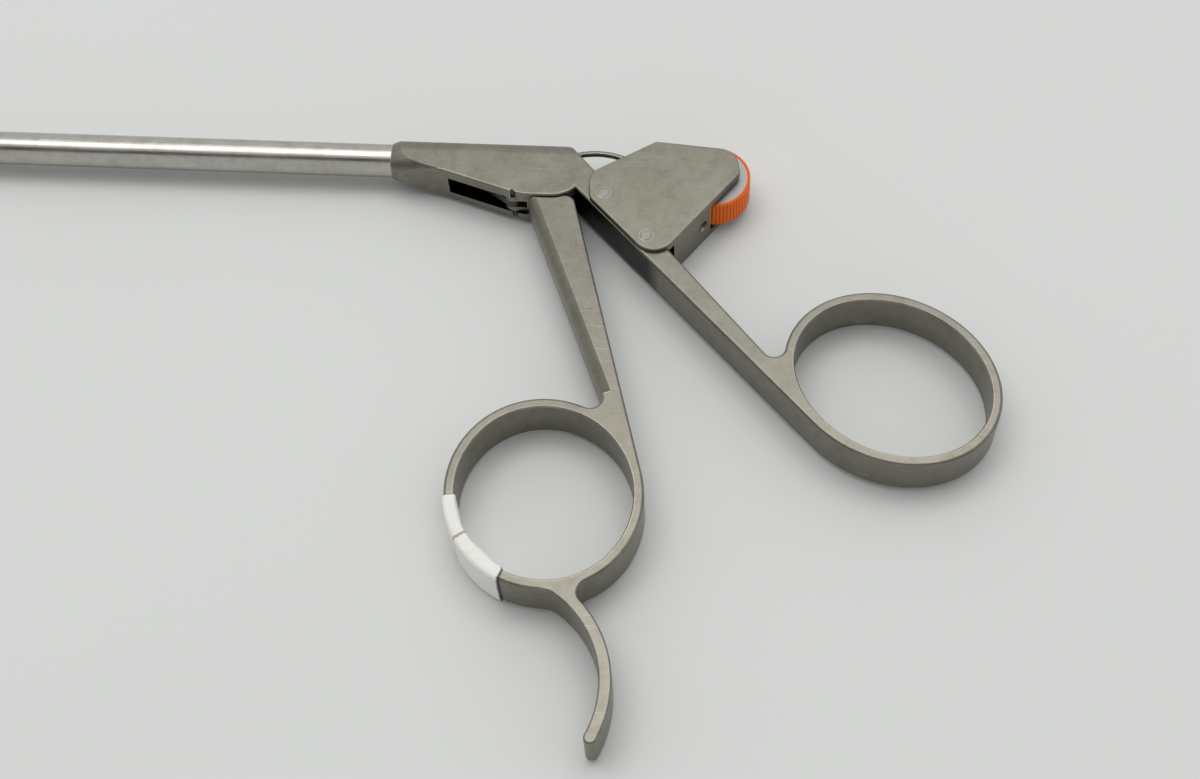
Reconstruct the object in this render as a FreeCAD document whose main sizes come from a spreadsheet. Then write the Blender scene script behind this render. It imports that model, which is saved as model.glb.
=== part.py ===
import FreeCAD, Part
import Sketcher
import math
import os
from types import SimpleNamespace
from FreeCAD import Placement, Rotation, Vector

# Suture-passing arthroscopic punch, in millimetres.
# The shaft lies along X with the jaws at -X, the finger rings hang towards -Y and every hinge axis is Z.
# The origin is on the shaft axis, where the tube leaves the nose of the frame.

SIZES = [
    # name, value
    ("frame_thickness", 6.5),
    ("edge_round", 0.4),
    ("top_round", 3.0),
    ("top_height", 2.85),
    ("nose_lip", 0.15),
    ("nose_bottom", 3.2),
    ("belly_depth", 7.4),
    ("belly_end", 18.6),
    ("fork_radius", 4.95),
    ("fork_front", 20.7),
    ("slot_width", 3.3),
    ("slot_front", 8.9),
    ("slot_top", 1.6),
    ("pivot_x", 24.6),
    ("pivot_y", -2.9),
    ("pivot_pin_radius", 1.5),
    ("tail_round", 4.6),
    ("arm_low_angle", -47.3),
    ("arm_top_angle", -49.8),
    ("arm_top_x", 28.5),
    ("rear_ring_x", 74.2),
    ("rear_ring_y", -36.5),
    ("rear_ring_long", 14.0),
    ("rear_ring_short", 11.6),
    ("rear_ring_turn", -32.6),
    ("front_ring_x", 28.2),
    ("front_ring_y", -56.5),
    ("front_ring_long", 12.9),
    ("front_ring_short", 11.85),
    ("front_ring_turn", 107.6),
    ("ring_wall", 1.4),
    ("ring_lip", 0.15),
    ("crotch_round", 1.6),
    ("shank_left_x", 21.2),
    ("shank_left_angle", -67.8),
    ("shank_bulge", 1.4),
    ("shoulder_gap", 0.2),
    ("shoulder_round", 1.6),
    ("rest_root_x", 30.9),
    ("rest_root_y", -71.2),
    ("rest_root_round", 3.0),
    ("rest_mid_x", 37.1),
    ("rest_mid_y", -80.3),
    ("rest_tip_x", 36.2),
    ("rest_tip_y", -89.6),
    ("rest_width", 1.7),
    ("rest_round", 0.3),
    ("tang_thickness", 3.1),
    ("tang_radius", 2.6),
    ("link_pin_x", 18.9),
    ("link_pin_y", -6.0),
    ("link_pin_radius", 0.7),
    ("link_eye_radius", 1.25),
    ("link_thickness", 1.3),
    ("link_front_thickness", 2.8),
    ("rod_joint_x", 9.5),
    ("rod_eye_thickness", 1.2),
    ("rod_pin_radius", 0.5),
    ("rod_radius", 0.9),
    ("shaft_radius", 2.5),
    ("shaft_wall", 0.4),
    ("shaft_seat", 6.5),
    ("seat_step", 0.2),
    ("shaft_end", -110.0),
    ("running_gap", 0.05),
    ("loose_gap", 0.12),
    ("side_gap", 0.1),
    ("jaw_length", 17.0),
    ("jaw_relief", 0.05),
    ("neck_depth", 0.2),
    ("neck_length", 1.0),
    ("jaw_pivot_x", -113.0),
    ("jaw_pivot_y", 1.6),
    ("jaw_pin_radius", 0.5),
    ("jaw_drive_radius", 0.42),
    ("jaw_tang_thickness", 0.8),
    ("jaw_slot_width", 1.9),
    ("jaw_open", 44.0),
    ("jaw_gap", 0.15),
    ("jaw_face_back", 2.6),
    ("jaw_tip_radius", 1.1),
    ("spigot_length", 6.0),
    ("window_length", 4.0),
    ("window_width", 1.7),
    ("tooth_pitch", 1.1),
    ("tooth_depth", 0.3),
    ("guide_radius", 0.45),
    ("guide_bore", 0.3),
    ("guide_offset", 1.6),
    ("guide_end", -118.0),
    ("needle_radius", 0.5),
    ("needle_bore", 0.3),
    ("needle_x", -124.6),
    ("needle_bend", 1.3),
    ("needle_height", 1.9),
    ("plate_thickness", 1.2),
    ("housing_thickness", 8.0),
    ("wheel_x", 48.45),
    ("wheel_y", -2.67),
    ("tyre_radius", 5.45),
    ("tyre_wall", 0.45),
    ("tyre_width", 4.4),
    ("tyre_ribs", 60),
    ("rib_depth", 0.12),
    ("hub_boss_radius", 2.0),
    ("wheel_axle_radius", 1.0),
    ("wheel_side_gap", 0.15),
    ("nip_angle", 205.0),
    ("nip_gap", 0.15),
    ("roller_radius", 2.0),
    ("roller_axle_radius", 0.8),
    ("web_width", 3.0),
    ("inlet_radius", 0.6),
    ("inlet_mouth_radius", 1.2),
    ("housing_pin_radius", 0.95),
    ("front_pin_x", 32.6),
    ("front_pin_y", -7.6),
    ("rear_pin_x", 39.3),
    ("rear_pin_y", -15.0),
    ("pin_head", 0.12),
    ("tape_upper_thickness", 0.22),
    ("tape_lower_thickness", 0.3),
    ("tape_upper_span", 28.5),
    ("tape_lower_span", 35.5),
    ("tape_end_gap", 23.84),
    ("spacer_length", 3.0),
    ("spacer_rear_x", -12.0),
    ("spacer_front_x", -78.0),
]

doc = FreeCAD.newDocument("arthroscopic_punch")
sheet = doc.addObject("Spreadsheet::Sheet", "sizes")
for row, (name, value) in enumerate(SIZES, start=1):
    sheet.set("A%d" % row, name)
    sheet.set("B%d" % row, str(value))
    sheet.setAlias("B%d" % row, name)
doc.recompute()
S = SimpleNamespace(**{name: float(sheet.get(name)) for name, value in SIZES})
Z_AXIS = Vector(0, 0, 1)


# Plane geometry

def unit(angle):
    """Unit vector at an angle in degrees in the plane of the instrument."""
    return Vector(math.cos(math.radians(angle)), math.sin(math.radians(angle)), 0)


def bearing(vector):
    return math.degrees(math.atan2(vector.y, vector.x))


def flat(point):
    return Vector(point[0], point[1], 0)


def line(start, end):
    return Part.LineSegment(flat(start), flat(end))


def arc(centre, radius, first, last):
    """Arc run counter-clockwise from the first to the last angle in degrees."""
    circle = Part.Circle(flat(centre), Z_AXIS, radius)
    return Part.ArcOfCircle(circle, math.radians(first), math.radians(last))


def bow(first, middle, last):
    """Arc through three places, whichever way it turns."""
    circle = Part.Circle(flat(first), flat(middle), flat(last))
    centre = circle.Center
    start = bearing(flat(first) - centre)
    end = bearing(flat(last) - centre)
    passed = (bearing(flat(middle) - centre) - start) % 360
    if passed > (end - start) % 360:
        start, end = end, start
    return arc(centre, circle.Radius, start, end if end > start else end + 360)


def corner(before, point, after, radius):
    """Tangent points and arc of one rounded corner."""
    back = (before - point).normalize()
    ahead = (after - point).normalize()
    half = back.getAngle(ahead) / 2
    reach = radius / math.tan(half)
    first = point + back * reach
    last = point + ahead * reach
    centre = point + (back + ahead).normalize() * (radius / math.sin(half))
    start = bearing(first - centre)
    end = bearing(last - centre)
    turn = back.x * ahead.y - back.y * ahead.x
    if turn > 0:
        start, end = end, start
    return first, last, arc(centre, radius, start, end if end > start else end + 360)


def run(points):
    """Straight edges through the points; a third number rounds that corner."""
    spots = [flat(p) for p in points]
    edges = []
    here = spots[0]
    for i in range(1, len(points) - 1):
        radius = points[i][2] if len(points[i]) > 2 else 0
        if radius > 0:
            first, last, bend = corner(here, spots[i], spots[i + 1], radius)
            edges += [line(here, first), bend]
            here = last
        else:
            edges.append(line(here, spots[i]))
            here = spots[i]
    return edges + [line(here, spots[-1])]


def loop(points):
    """Closed run of straight edges with rounded corners."""
    first = flat(points[0])
    second = flat(points[1])
    middle = (first + second) / 2
    start = (middle.x, middle.y)
    return run([start] + list(points[1:]) + [points[0], start])


class Oval:
    """Ellipse of a finger ring: long half axis, short half axis and turn of the long axis."""

    def __init__(self, x, y, long, short, turn):
        self.centre = Vector(x, y, 0)
        self.long = long
        self.short = short
        self.turn = turn

    def grown(self, wall):
        return Oval(self.centre.x, self.centre.y, self.long + wall, self.short + wall, self.turn)

    def at(self, angle):
        local = math.radians(angle)
        return (self.centre + unit(self.turn) * (self.long * math.cos(local))
                + unit(self.turn + 90) * (self.short * math.sin(local)))

    def slope(self, angle):
        local = math.radians(angle)
        return (unit(self.turn) * (-self.long * math.sin(local))
                + unit(self.turn + 90) * (self.short * math.cos(local)))

    def outward(self, angle):
        slope = self.slope(angle).normalize()
        return Vector(slope.y, -slope.x, 0)

    def quarter(self):
        """Ellipse angle of the end of the longer axis, where the curve starts."""
        return 0 if self.long >= self.short else 90

    def ellipse(self):
        return Part.Ellipse(self.at(self.quarter()), self.at(self.quarter() + 90), self.centre)

    def arc(self, first, last):
        while last < first:
            last += 360
        return Part.ArcOfEllipse(self.ellipse(), math.radians(first - self.quarter()),
                                 math.radians(last - self.quarter()))

    def facing(self, direction):
        """Ellipse angle of the spot whose outward side faces a plane direction."""
        local = math.radians(direction - self.turn)
        return math.degrees(math.atan2(self.short * math.sin(local), self.long * math.cos(local)))

    def angle_towards(self, direction):
        """Ellipse angle of the spot that lies in a plane direction from the centre."""
        local = math.radians(direction - self.turn)
        return math.degrees(math.atan2(math.sin(local) / self.short, math.cos(local) / self.long))


def solve(function, low, high):
    """Bisection for a zero between low and high."""
    start = function(low)
    for step in range(60):
        middle = (low + high) / 2
        if (function(middle) > 0) == (start > 0):
            low = middle
        else:
            high = middle
    return (low + high) / 2


def tangent_angle(oval, point, near):
    """Ellipse angle near a guess where a line from the point touches the oval."""
    def miss(angle):
        reach = oval.at(angle) - point
        slope = oval.slope(angle)
        return reach.x * slope.y - reach.y * slope.x
    return solve(miss, near - 40, near + 40)


def crotch(oval, start, heading, side, radius, near):
    """Round inner corner between an oval and a line: foot on the line, arc, ellipse angle."""
    along = unit(heading)
    across = unit(heading + 90 * side)

    def centre_for(angle):
        return oval.at(angle) + oval.outward(angle) * radius

    def miss(angle):
        return (centre_for(angle) - start).dot(across) - radius
    angle = solve(miss, near - 45, near + 45)
    centre = centre_for(angle)
    foot = start + along * (centre - start).dot(along)
    ends = [bearing(foot - centre), bearing(oval.at(angle) - centre)]
    if side < 0:
        ends.reverse()
    bend = arc(centre, radius, ends[0], ends[1] if ends[1] > ends[0] else ends[1] + 360)
    return foot, bend, angle


def blend(oval, circle, radius, side, near):
    """Small arc that touches an oval from outside and a circle: ellipse angle, centre, touch on the circle."""
    def centre_for(angle):
        return oval.at(angle) + oval.outward(angle) * radius

    def miss(angle):
        return (centre_for(angle) - circle.Center).Length - (circle.Radius + side * radius)
    angle = solve(miss, near - 18, near + 18)
    centre = centre_for(angle)
    touch = circle.Center + (centre - circle.Center).normalize() * circle.Radius
    return angle, centre, touch


def fillet_arc(first, centre, last):
    """Short arc about a centre between two places."""
    middle = ((first - centre) + (last - centre)).normalize() * (first - centre).Length
    return bow(first, centre + middle, last)


# Document objects

def bind(obj, field, expression):
    obj.setExpression(field, expression)


def new_body(name):
    body = doc.addObject("PartDesign::Body", name)
    body.Label = name
    return body


def origin_plane(body, role):
    return [f for f in body.Origin.OriginFeatures if f.Role == role][0]


def sketch(body, name, edges=(), plane="XY_Plane", offset=None):
    drawing = body.newObject("Sketcher::SketchObject", body.Name + "_" + name)
    drawing.AttachmentSupport = [(origin_plane(body, plane), "")]
    drawing.MapMode = "FlatFace"
    if offset is not None:
        drawing.AttachmentOffset = offset
    for edge in edges:
        drawing.addGeometry(edge, False)
    return drawing


def across(body, name, edges, start, heading):
    """Sketch square to a heading in the plane: its x runs to the left of the heading, its y is Z."""
    lift = Vector(start[1], 0, start[0])
    turned = Placement(lift, Rotation(Vector(0, 1, 0), heading))
    return sketch(body, name, edges, "YZ_Plane", turned)


def disc(body, name, centre, radius_name, extra=""):
    """Sketch of one circle whose radius is tied to the sheet."""
    drawing = sketch(body, name, [Part.Circle(flat(centre), Z_AXIS, 1.0)])
    drawing.addConstraint(Sketcher.Constraint("Radius", 0, 1.0))
    bind(drawing, "Constraints[0]", "sizes." + radius_name + extra)
    drawing.addConstraint(Sketcher.Constraint("DistanceX", -1, 1, 0, 3, centre[0]))
    drawing.addConstraint(Sketcher.Constraint("DistanceY", -1, 1, 0, 3, centre[1]))
    return drawing


def pad(body, drawing, expression, name, midplane=True, reverse=False):
    feature = body.newObject("PartDesign::Pad", body.Name + "_" + name)
    feature.Profile = drawing
    feature.Midplane = midplane
    feature.Reversed = reverse
    bind(feature, "Length", expression)
    doc.recompute()
    return feature


def pocket(body, drawing, expression, name, midplane=True, reverse=False):
    feature = body.newObject("PartDesign::Pocket", body.Name + "_" + name)
    feature.Profile = drawing
    feature.Midplane = midplane
    feature.Reversed = reverse
    bind(feature, "Length", expression)
    doc.recompute()
    return feature


def spin(body, drawing, name, cut=False):
    """Revolve a sketch about the X axis, as a solid or as a cut."""
    kind = "PartDesign::Groove" if cut else "PartDesign::Revolution"
    feature = body.newObject(kind, body.Name + "_" + name)
    feature.Profile = drawing
    feature.ReferenceAxis = (drawing, ["H_Axis"])
    feature.Angle = 360
    doc.recompute()
    return feature


def soften(body, base, wanted, expression, name, kind="Fillet"):
    """Fillet or chamfer on every edge of the last feature that passes a test."""
    names = []
    for number, edge in enumerate(base.Shape.Edges, start=1):
        if wanted(edge):
            names.append("Edge%d" % number)
    feature = body.newObject("PartDesign::" + kind, body.Name + "_" + name)
    feature.Base = (base, names)
    bind(feature, "Radius" if kind == "Fillet" else "Size", expression)
    doc.recompute()
    return feature


def on_faces(level):
    """Test for edges that lie wholly on the two flat faces at plus and minus a height."""
    def test(edge):
        box = edge.BoundBox
        return abs(box.ZMax - box.ZMin) < 1e-6 and abs(abs(box.ZMax) - level) < 1e-6
    return test


def feature_of(name, shape):
    obj = doc.addObject("Part::Feature", name)
    obj.Shape = shape
    obj.Label = name
    return obj


def pin(name, centre, radius_name, low, high):
    """Round pin along Z, tied to its radius in the sheet."""
    obj = doc.addObject("Part::Cylinder", name)
    obj.Label = name
    bind(obj, "Radius", "sizes." + radius_name)
    bind(obj, "Height", "(%s) - (%s)" % (high, low))
    bind(obj, "Placement.Base.z", low)
    obj.Placement = Placement(Vector(centre[0], centre[1], 0), Rotation())
    bind(obj, "Placement.Base.z", low)
    return obj


def rounded_wire(points):
    """Wire of straight runs and tangent arcs through (x, y, z, radius)."""
    spots = [Vector(*p[:3]) for p in points]
    edges = []
    here = spots[0]
    for i in range(1, len(points) - 1):
        back = (spots[i - 1] - spots[i]).normalize()
        ahead = (spots[i + 1] - spots[i]).normalize()
        half = back.getAngle(ahead) / 2
        reach = points[i][3] / math.tan(half)
        inward = (back + ahead).normalize()
        centre = spots[i] + inward * (points[i][3] / math.sin(half))
        first = spots[i] + back * reach
        last = spots[i] + ahead * reach
        edges.append(Part.LineSegment(here, first).toShape())
        edges.append(Part.Arc(first, centre - inward * points[i][3], last).toShape())
        here = last
    edges.append(Part.LineSegment(here, spots[-1]).toShape())
    return Part.Wire(edges)


def pipe(path, radius):
    """Round solid along a wire."""
    start = path.Vertexes[0].Point
    first = path.Edges[0]
    along = first.tangentAt(first.FirstParameter)
    circle = Part.Wire(Part.Circle(start, along, radius).toShape())
    return path.makePipeShell([circle], True, True)


# Shared places, worked out from the sheet

HALF = S.frame_thickness / 2
pivot = Vector(S.pivot_x, S.pivot_y, 0)
link_pin = Vector(S.link_pin_x, S.link_pin_y, 0)
rod_joint = Vector(S.rod_joint_x, 0, 0)
wheel = Vector(S.wheel_x, S.wheel_y, 0)
rear_inner = Oval(S.rear_ring_x, S.rear_ring_y, S.rear_ring_long, S.rear_ring_short, S.rear_ring_turn)
rear_outer = rear_inner.grown(S.ring_wall)
front_inner = Oval(S.front_ring_x, S.front_ring_y, S.front_ring_long, S.front_ring_short,
                   S.front_ring_turn)
front_outer = front_inner.grown(S.ring_wall)
front_pin = (S.front_pin_x, S.front_pin_y)
rear_pin = (S.rear_pin_x, S.rear_pin_y)
shaft_bore = S.shaft_radius - S.shaft_wall
seat_radius = S.shaft_radius - S.seat_step
jaw_radius = S.shaft_radius - S.jaw_relief
plate_inner = S.housing_thickness / 2 - S.plate_thickness
nip = wheel + unit(S.nip_angle) * (S.tyre_radius + S.nip_gap / 2)
roller = wheel + unit(S.nip_angle) * (S.tyre_radius + S.nip_gap + S.roller_radius)
jaw_pivot = Vector(S.jaw_pivot_x, S.jaw_pivot_y, 0)
jaw_tip_x = S.jaw_pivot_x - S.jaw_length
# The open jaw puts its drive pin this far ahead of the jaw pivot, on the shaft axis.
drive_reach = S.jaw_pivot_y * math.tan(math.radians(S.jaw_open / 2))
drive_pin = Vector(S.jaw_pivot_x - drive_reach, 0, 0)


# Frame: nose, forked body, rear arm and rear ring in one forging

def frame_outline():
    # The lower edge of the arm is a tangent of the ring at a set heading, up to the round end of the fork.
    low_touch = rear_outer.facing(S.arm_low_angle - 90)
    low_foot = rear_outer.at(low_touch)
    along = unit(S.arm_low_angle)
    side = (low_foot - pivot).dot(unit(S.arm_low_angle + 90))
    reach = (pivot - low_foot).dot(along) + math.sqrt(S.fork_radius ** 2 - side ** 2)
    arm_start = low_foot + along * reach
    fork_end = bearing(arm_start - pivot)
    top_start = Vector(S.arm_top_x, 0, 0)
    foot, bend, top_touch = crotch(rear_outer, top_start, S.arm_top_angle, 1, S.crotch_round,
                                   rear_outer.angle_towards(165))
    tail_x = S.arm_top_x - S.top_height / math.tan(math.radians(-S.arm_top_angle))
    bottom = pivot.y - S.fork_radius
    edges = [line(arm_start, low_foot), rear_outer.arc(low_touch, top_touch), bend]
    edges += run([(foot.x, foot.y), (tail_x, S.top_height, S.tail_round), (0, S.top_height),
                  (0, -S.nose_bottom), (6.0, -S.nose_bottom, 20.0), (S.belly_end, -S.belly_depth),
                  (S.fork_front, bottom, 0.4), (pivot.x, bottom)])
    edges.append(arc(pivot, S.fork_radius, -90, fork_end))
    return edges


def frame():
    body = new_body("frame")
    blank = pad(body, sketch(body, "outline", frame_outline()), "sizes.frame_thickness", "blank")
    softened = soften(body, blank, on_faces(HALF), "sizes.edge_round", "edges")
    hole = sketch(body, "ring_hole", [rear_inner.ellipse()])
    ring = pocket(body, hole, "sizes.frame_thickness + 2", "finger_hole")
    soften(body, ring, lambda e: on_faces(HALF)(e) and rear_inner.centre.distanceToPoint(
        Vector(e.CenterOfMass.x, e.CenterOfMass.y, 0)) < 0.5 * S.rear_ring_short,
        "sizes.ring_lip", "ring_lip", "Chamfer")
    # The back of the body is rounded over its full thickness.
    depth = S.top_height - S.top_round
    for side, label in ((1, "near"), (-1, "far")):
        inner = side * (HALF - S.top_round)
        outer = side * HALF
        first, last = (0, 90) if side > 0 else (-90, 0)
        edges = [arc((depth, inner), S.top_round, first, last),
                 line((depth, outer), (depth, outer + side)),
                 line((depth, outer + side), (S.top_height + 2, outer + side)),
                 line((S.top_height + 2, outer + side), (S.top_height + 2, inner)),
                 line((S.top_height + 2, inner), (S.top_height, inner))]
        drawing = across(body, label + "_back", edges, (-1, 0), 0)
        pocket(body, drawing, "40", label + "_back_cut", midplane=False, reverse=True)
    # The nose is turned round like a bullet, and fades into the flat cheeks.
    lip = S.shaft_radius + S.nose_lip
    big = S.frame_thickness
    bullet = bow((0, lip), (2.3, 3.5), (7.5, 4.7))
    edges = [bullet, line((7.5, 4.7), (7.5, big)), line((7.5, big), (-1, big)), line((-1, big), (-1, lip)),
             line((-1, lip), (0, lip))]
    spin(body, sketch(body, "nose", edges), "nose_round", cut=True)
    # Fork slot for the tang and the link, open below. Its roof stays under the thread tube at the pivot.
    floor = pivot.y - S.fork_radius - 2
    wall = pivot.x + S.tang_radius
    edges = loop([(S.slot_front, S.slot_top, 0.5), (S.slot_front, floor), (wall + 1.7, floor),
                  (wall + 0.25, pivot.y + S.tang_radius + 0.3, S.tang_radius + 0.2)])
    pocket(body, sketch(body, "fork_slot", edges), "sizes.slot_width", "fork_slot_cut")
    # Assembly notch in the lower edge of both cheeks, where the link pin is put in.
    notch_low = -S.belly_depth - 1
    edges = loop([(S.belly_end, notch_low), (S.belly_end + 0.15, S.link_pin_y - 0.9),
                  (S.belly_end + 0.45, S.link_pin_y - 0.9), (S.fork_front - 0.3, notch_low)])
    pocket(body, sketch(body, "notch", edges), "sizes.frame_thickness + 2", "notch_cut")
    # Recess on both faces of the arm for the cheeks of the wheel housing.
    for side, label in ((1, "near"), (-1, "far")):
        offset = Placement(Vector(0, 0, side * plate_inner), Rotation())
        drawing = sketch(body, label + "_recess", loop(plate_points(S.running_gap)), "XY_Plane", offset)
        pocket(body, drawing, "sizes.frame_thickness", label + "_recess_cut", midplane=False,
               reverse=side > 0)
    # Bores: shaft seat, rod channel, pivot pin and the two housing pins.
    for label, radius, start, end in (("shaft_seat", seat_radius, -1, S.shaft_seat),
                                      ("rod_channel", shaft_bore, -1, S.slot_front + 1)):
        drawing = across(body, label, [Part.Circle(Vector(), Z_AXIS, radius)], (start, 0), 0)
        pocket(body, drawing, str(end - start), label + "_cut", midplane=False, reverse=True)
    pocket(body, disc(body, "pivot_hole", pivot[:2], "pivot_pin_radius"), "sizes.frame_thickness + 2",
           "pivot_bore")
    for label, centre in (("front", front_pin), ("rear", rear_pin)):
        pocket(body, disc(body, label + "_hole", centre, "housing_pin_radius"),
               "sizes.frame_thickness + 2", label + "_bore")
    return body


def plate_points(grow=0.0):
    """Outline of the housing cheeks; grow widens it all round."""
    corners = [(39.75, 2.3, 0.8), (30.1, -4.0, 3.0), (30.6, -8.4, 1.6), (40.7, -19.3, 3.2),
               (52.4, -3.0, 1.4), (51.6, 1.2, 3.0)]
    if not grow:
        return corners
    middle = Vector(42, -6, 0)
    result = []
    for i, point in enumerate(corners):
        before = flat(corners[i - 1])
        here = flat(point)
        after = flat(corners[(i + 1) % len(corners)])
        back = (before - here).normalize()
        ahead = (after - here).normalize()
        half = back.getAngle(ahead) / 2
        away = (back + ahead).normalize() * (-grow / math.sin(half))
        moved = here + away
        result.append((moved.x, moved.y, point[2] + grow))
    return result


# Front handle: tang, shank, ring and curved finger rest in one forging

def handle_outline():
    shoulder = S.fork_radius + S.shoulder_gap
    top = pivot.y - shoulder
    shoulder_end = pivot + unit(-70) * shoulder
    peak = shoulder_end + unit(20) * (S.shoulder_round * 1.1)
    right_touch = tangent_angle(front_outer, peak, front_outer.angle_towards(15))
    here, there, peak_bend = corner(shoulder_end, peak, front_outer.at(right_touch), S.shoulder_round)
    start = Vector(S.shank_left_x, top, 0)
    foot, bend, left_touch = crotch(front_outer, start, S.shank_left_angle, -1, S.crotch_round,
                                    front_outer.angle_towards(70))
    edges = [arc(pivot, shoulder, -90, -70), line(shoulder_end, here), peak_bend,
             line(there, front_outer.at(right_touch)), front_outer.arc(left_touch, right_touch), bend]
    edges += run([(foot.x, foot.y), (start.x, start.y, 0.6), (pivot.x, top)])
    return edges, foot


def rest_inner():
    """Circle of the side of the hook that the finger lies on."""
    return Part.Circle(Vector(S.rest_root_x, S.rest_root_y, 0), Vector(S.rest_mid_x, S.rest_mid_y, 0),
                       Vector(S.rest_tip_x, S.rest_tip_y, 0))


def hook_root():
    """Direction from the ring's centre to the start of the hook, as 0 to 360 degrees."""
    angle = blend(front_outer, rest_inner(), S.rest_root_round, -1, front_outer.angle_towards(-86))[0]
    return bearing(front_outer.at(angle) - front_outer.centre) % 360


def rest_outline():
    """Hook of even width about one centre, blended into the ring on both sides."""
    inner = rest_inner()
    centre = inner.Center
    outer = Part.Circle(centre, Z_AXIS, inner.Radius + S.rest_width)
    tip = bearing(Vector(S.rest_tip_x, S.rest_tip_y, 0) - centre)
    cap = centre + unit(tip) * (inner.Radius + S.rest_width / 2)
    web_angle, web, web_foot = blend(front_outer, outer, S.crotch_round, 1, front_outer.angle_towards(-62))
    root_angle, root, root_foot = blend(front_outer, inner, S.rest_root_round, -1,
                                        front_outer.angle_towards(-86))
    first = front_outer.at(web_angle)
    last = front_outer.at(root_angle)
    first_in = first - front_outer.outward(web_angle) * (S.ring_wall / 2)
    last_in = last - front_outer.outward(root_angle) * (S.ring_wall / 2)
    return [fillet_arc(first, web, web_foot), arc(centre, outer.Radius, tip, bearing(web_foot - centre)),
            arc(cap, S.rest_width / 2, tip - 180, tip),
            arc(centre, inner.Radius, tip, bearing(root_foot - centre)), fillet_arc(root_foot, root, last),
            line(last, last_in), line(last_in, first_in), line(first_in, first)]


def front_handle():
    """Handle body and its hook, forged in one."""
    hook = new_body("finger_rest")
    blank = pad(hook, sketch(hook, "outline", rest_outline()), "sizes.frame_thickness", "blank")
    soften(hook, blank, on_faces(HALF), "sizes.rest_round", "edges")
    fused = doc.addObject("Part::Fuse", "front_handle")
    fused.Base = handle_body()
    fused.Tool = hook
    fused.Refine = True
    doc.recompute()
    return fused


def handle_body():
    body = new_body("handle_forging")
    outline, foot = handle_outline()
    blank = pad(body, sketch(body, "outline", outline), "sizes.frame_thickness", "blank")
    soften(body, blank, on_faces(HALF), "sizes.edge_round", "edges")
    hole = sketch(body, "ring_hole", [front_inner.ellipse()])
    ring = pocket(body, hole, "sizes.frame_thickness + 2", "finger_hole")
    soften(body, ring, lambda e: on_faces(HALF)(e) and front_inner.centre.distanceToPoint(
        Vector(e.CenterOfMass.x, e.CenterOfMass.y, 0)) < 0.3 * S.front_ring_short,
        "sizes.ring_lip", "ring_lip", "Chamfer")
    # The front of the shank is rolled back towards both faces.
    start = Vector(S.shank_left_x, pivot.y - S.fork_radius - S.shoulder_gap, 0)
    start -= unit(S.shank_left_angle) * 1.0
    length = (foot - start).Length
    for side, label in ((1, "near"), (-1, "far")):
        face = side * HALF
        edges = [bow((S.shank_bulge, face), (S.shank_bulge * 0.32, face - side * 0.75), (0, face - side * 2.2)),
                 line((0, face - side * 2.2), (-1, face - side * 2.2)),
                 line((-1, face - side * 2.2), (-1, face + side)),
                 line((-1, face + side), (S.shank_bulge, face + side)),
                 line((S.shank_bulge, face + side), (S.shank_bulge, face))]
        drawing = across(body, label + "_roll", edges, start[:2], S.shank_left_angle)
        pocket(body, drawing, str(length), label + "_roll_cut", midplane=False, reverse=True)
    # Thin tang in the fork, with a forked ear that pulls the link.
    ear = S.link_eye_radius + 0.05
    boss = S.tang_radius
    neck = pivot.y - S.fork_radius - 1.2
    edges = loop([(pivot.x + boss, pivot.y + boss, boss - 0.1), (pivot.x - boss, pivot.y + boss, boss - 0.1),
                  (pivot.x - boss - 0.6, pivot.y + 0.2, 0.8), (link_pin.x - ear, link_pin.y + ear + 0.1, ear),
                  (link_pin.x - ear, link_pin.y - ear, ear - 0.05), (link_pin.x + 2.6, link_pin.y - ear, 1.0),
                  (S.fork_front + 1.4, neck), (pivot.x + boss, neck)])
    pad(body, sketch(body, "tang", edges), "sizes.tang_thickness", "tang_pad")
    pocket(body, disc(body, "pivot_hole", pivot[:2], "pivot_pin_radius", " + sizes.running_gap"),
           "sizes.frame_thickness + 2", "pivot_bore")
    reach = S.link_eye_radius + 0.3
    edges = loop([(link_pin.x + reach + 0.6, link_pin.y - reach - 1), (link_pin.x - reach - 1, link_pin.y - reach - 1),
                  (link_pin.x - reach - 1, link_pin.y + reach + 1), (link_pin.x + reach - 0.3, link_pin.y + reach + 1),
                  (link_pin.x + reach + 0.6, link_pin.y, 1.4)])
    pocket(body, sketch(body, "ear_slot", edges), "sizes.link_thickness + 2 * sizes.side_gap", "ear_slot_cut")
    pocket(body, disc(body, "link_hole", link_pin[:2], "link_pin_radius"), "sizes.frame_thickness + 2",
           "link_bore")
    return body


# Linkage: rod and link

def capsule(first, second, radius):
    """Closed outline round two places."""
    along = bearing(second - first)
    side = unit(along + 90) * radius
    return [line(first + side, second + side), arc(second, radius, along - 90, along + 90),
            line(second - side, first - side), arc(first, radius, along + 90, along + 270)]


def rod_link():
    body = new_body("rod_link")
    along = unit(bearing(link_pin - rod_joint))
    pad(body, sketch(body, "blank", capsule(rod_joint, link_pin, S.link_eye_radius)),
        "sizes.link_thickness", "blank_pad")
    stem = rod_joint + along * (2 * S.link_eye_radius + 0.6)
    pad(body, sketch(body, "fork", capsule(rod_joint, stem, S.link_eye_radius)),
        "sizes.link_front_thickness", "fork_pad")
    gap = capsule(rod_joint - along * 3, rod_joint, S.link_eye_radius + 0.15)
    pocket(body, sketch(body, "fork_gap", gap), "sizes.rod_eye_thickness + 2 * sizes.side_gap", "fork_gap_cut")
    pocket(body, disc(body, "rod_hole", rod_joint[:2], "rod_pin_radius"), "10", "rod_bore")
    pocket(body, disc(body, "pin_hole", link_pin[:2], "link_pin_radius", " + sizes.loose_gap"), "10",
           "pin_bore")
    return body


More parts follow.
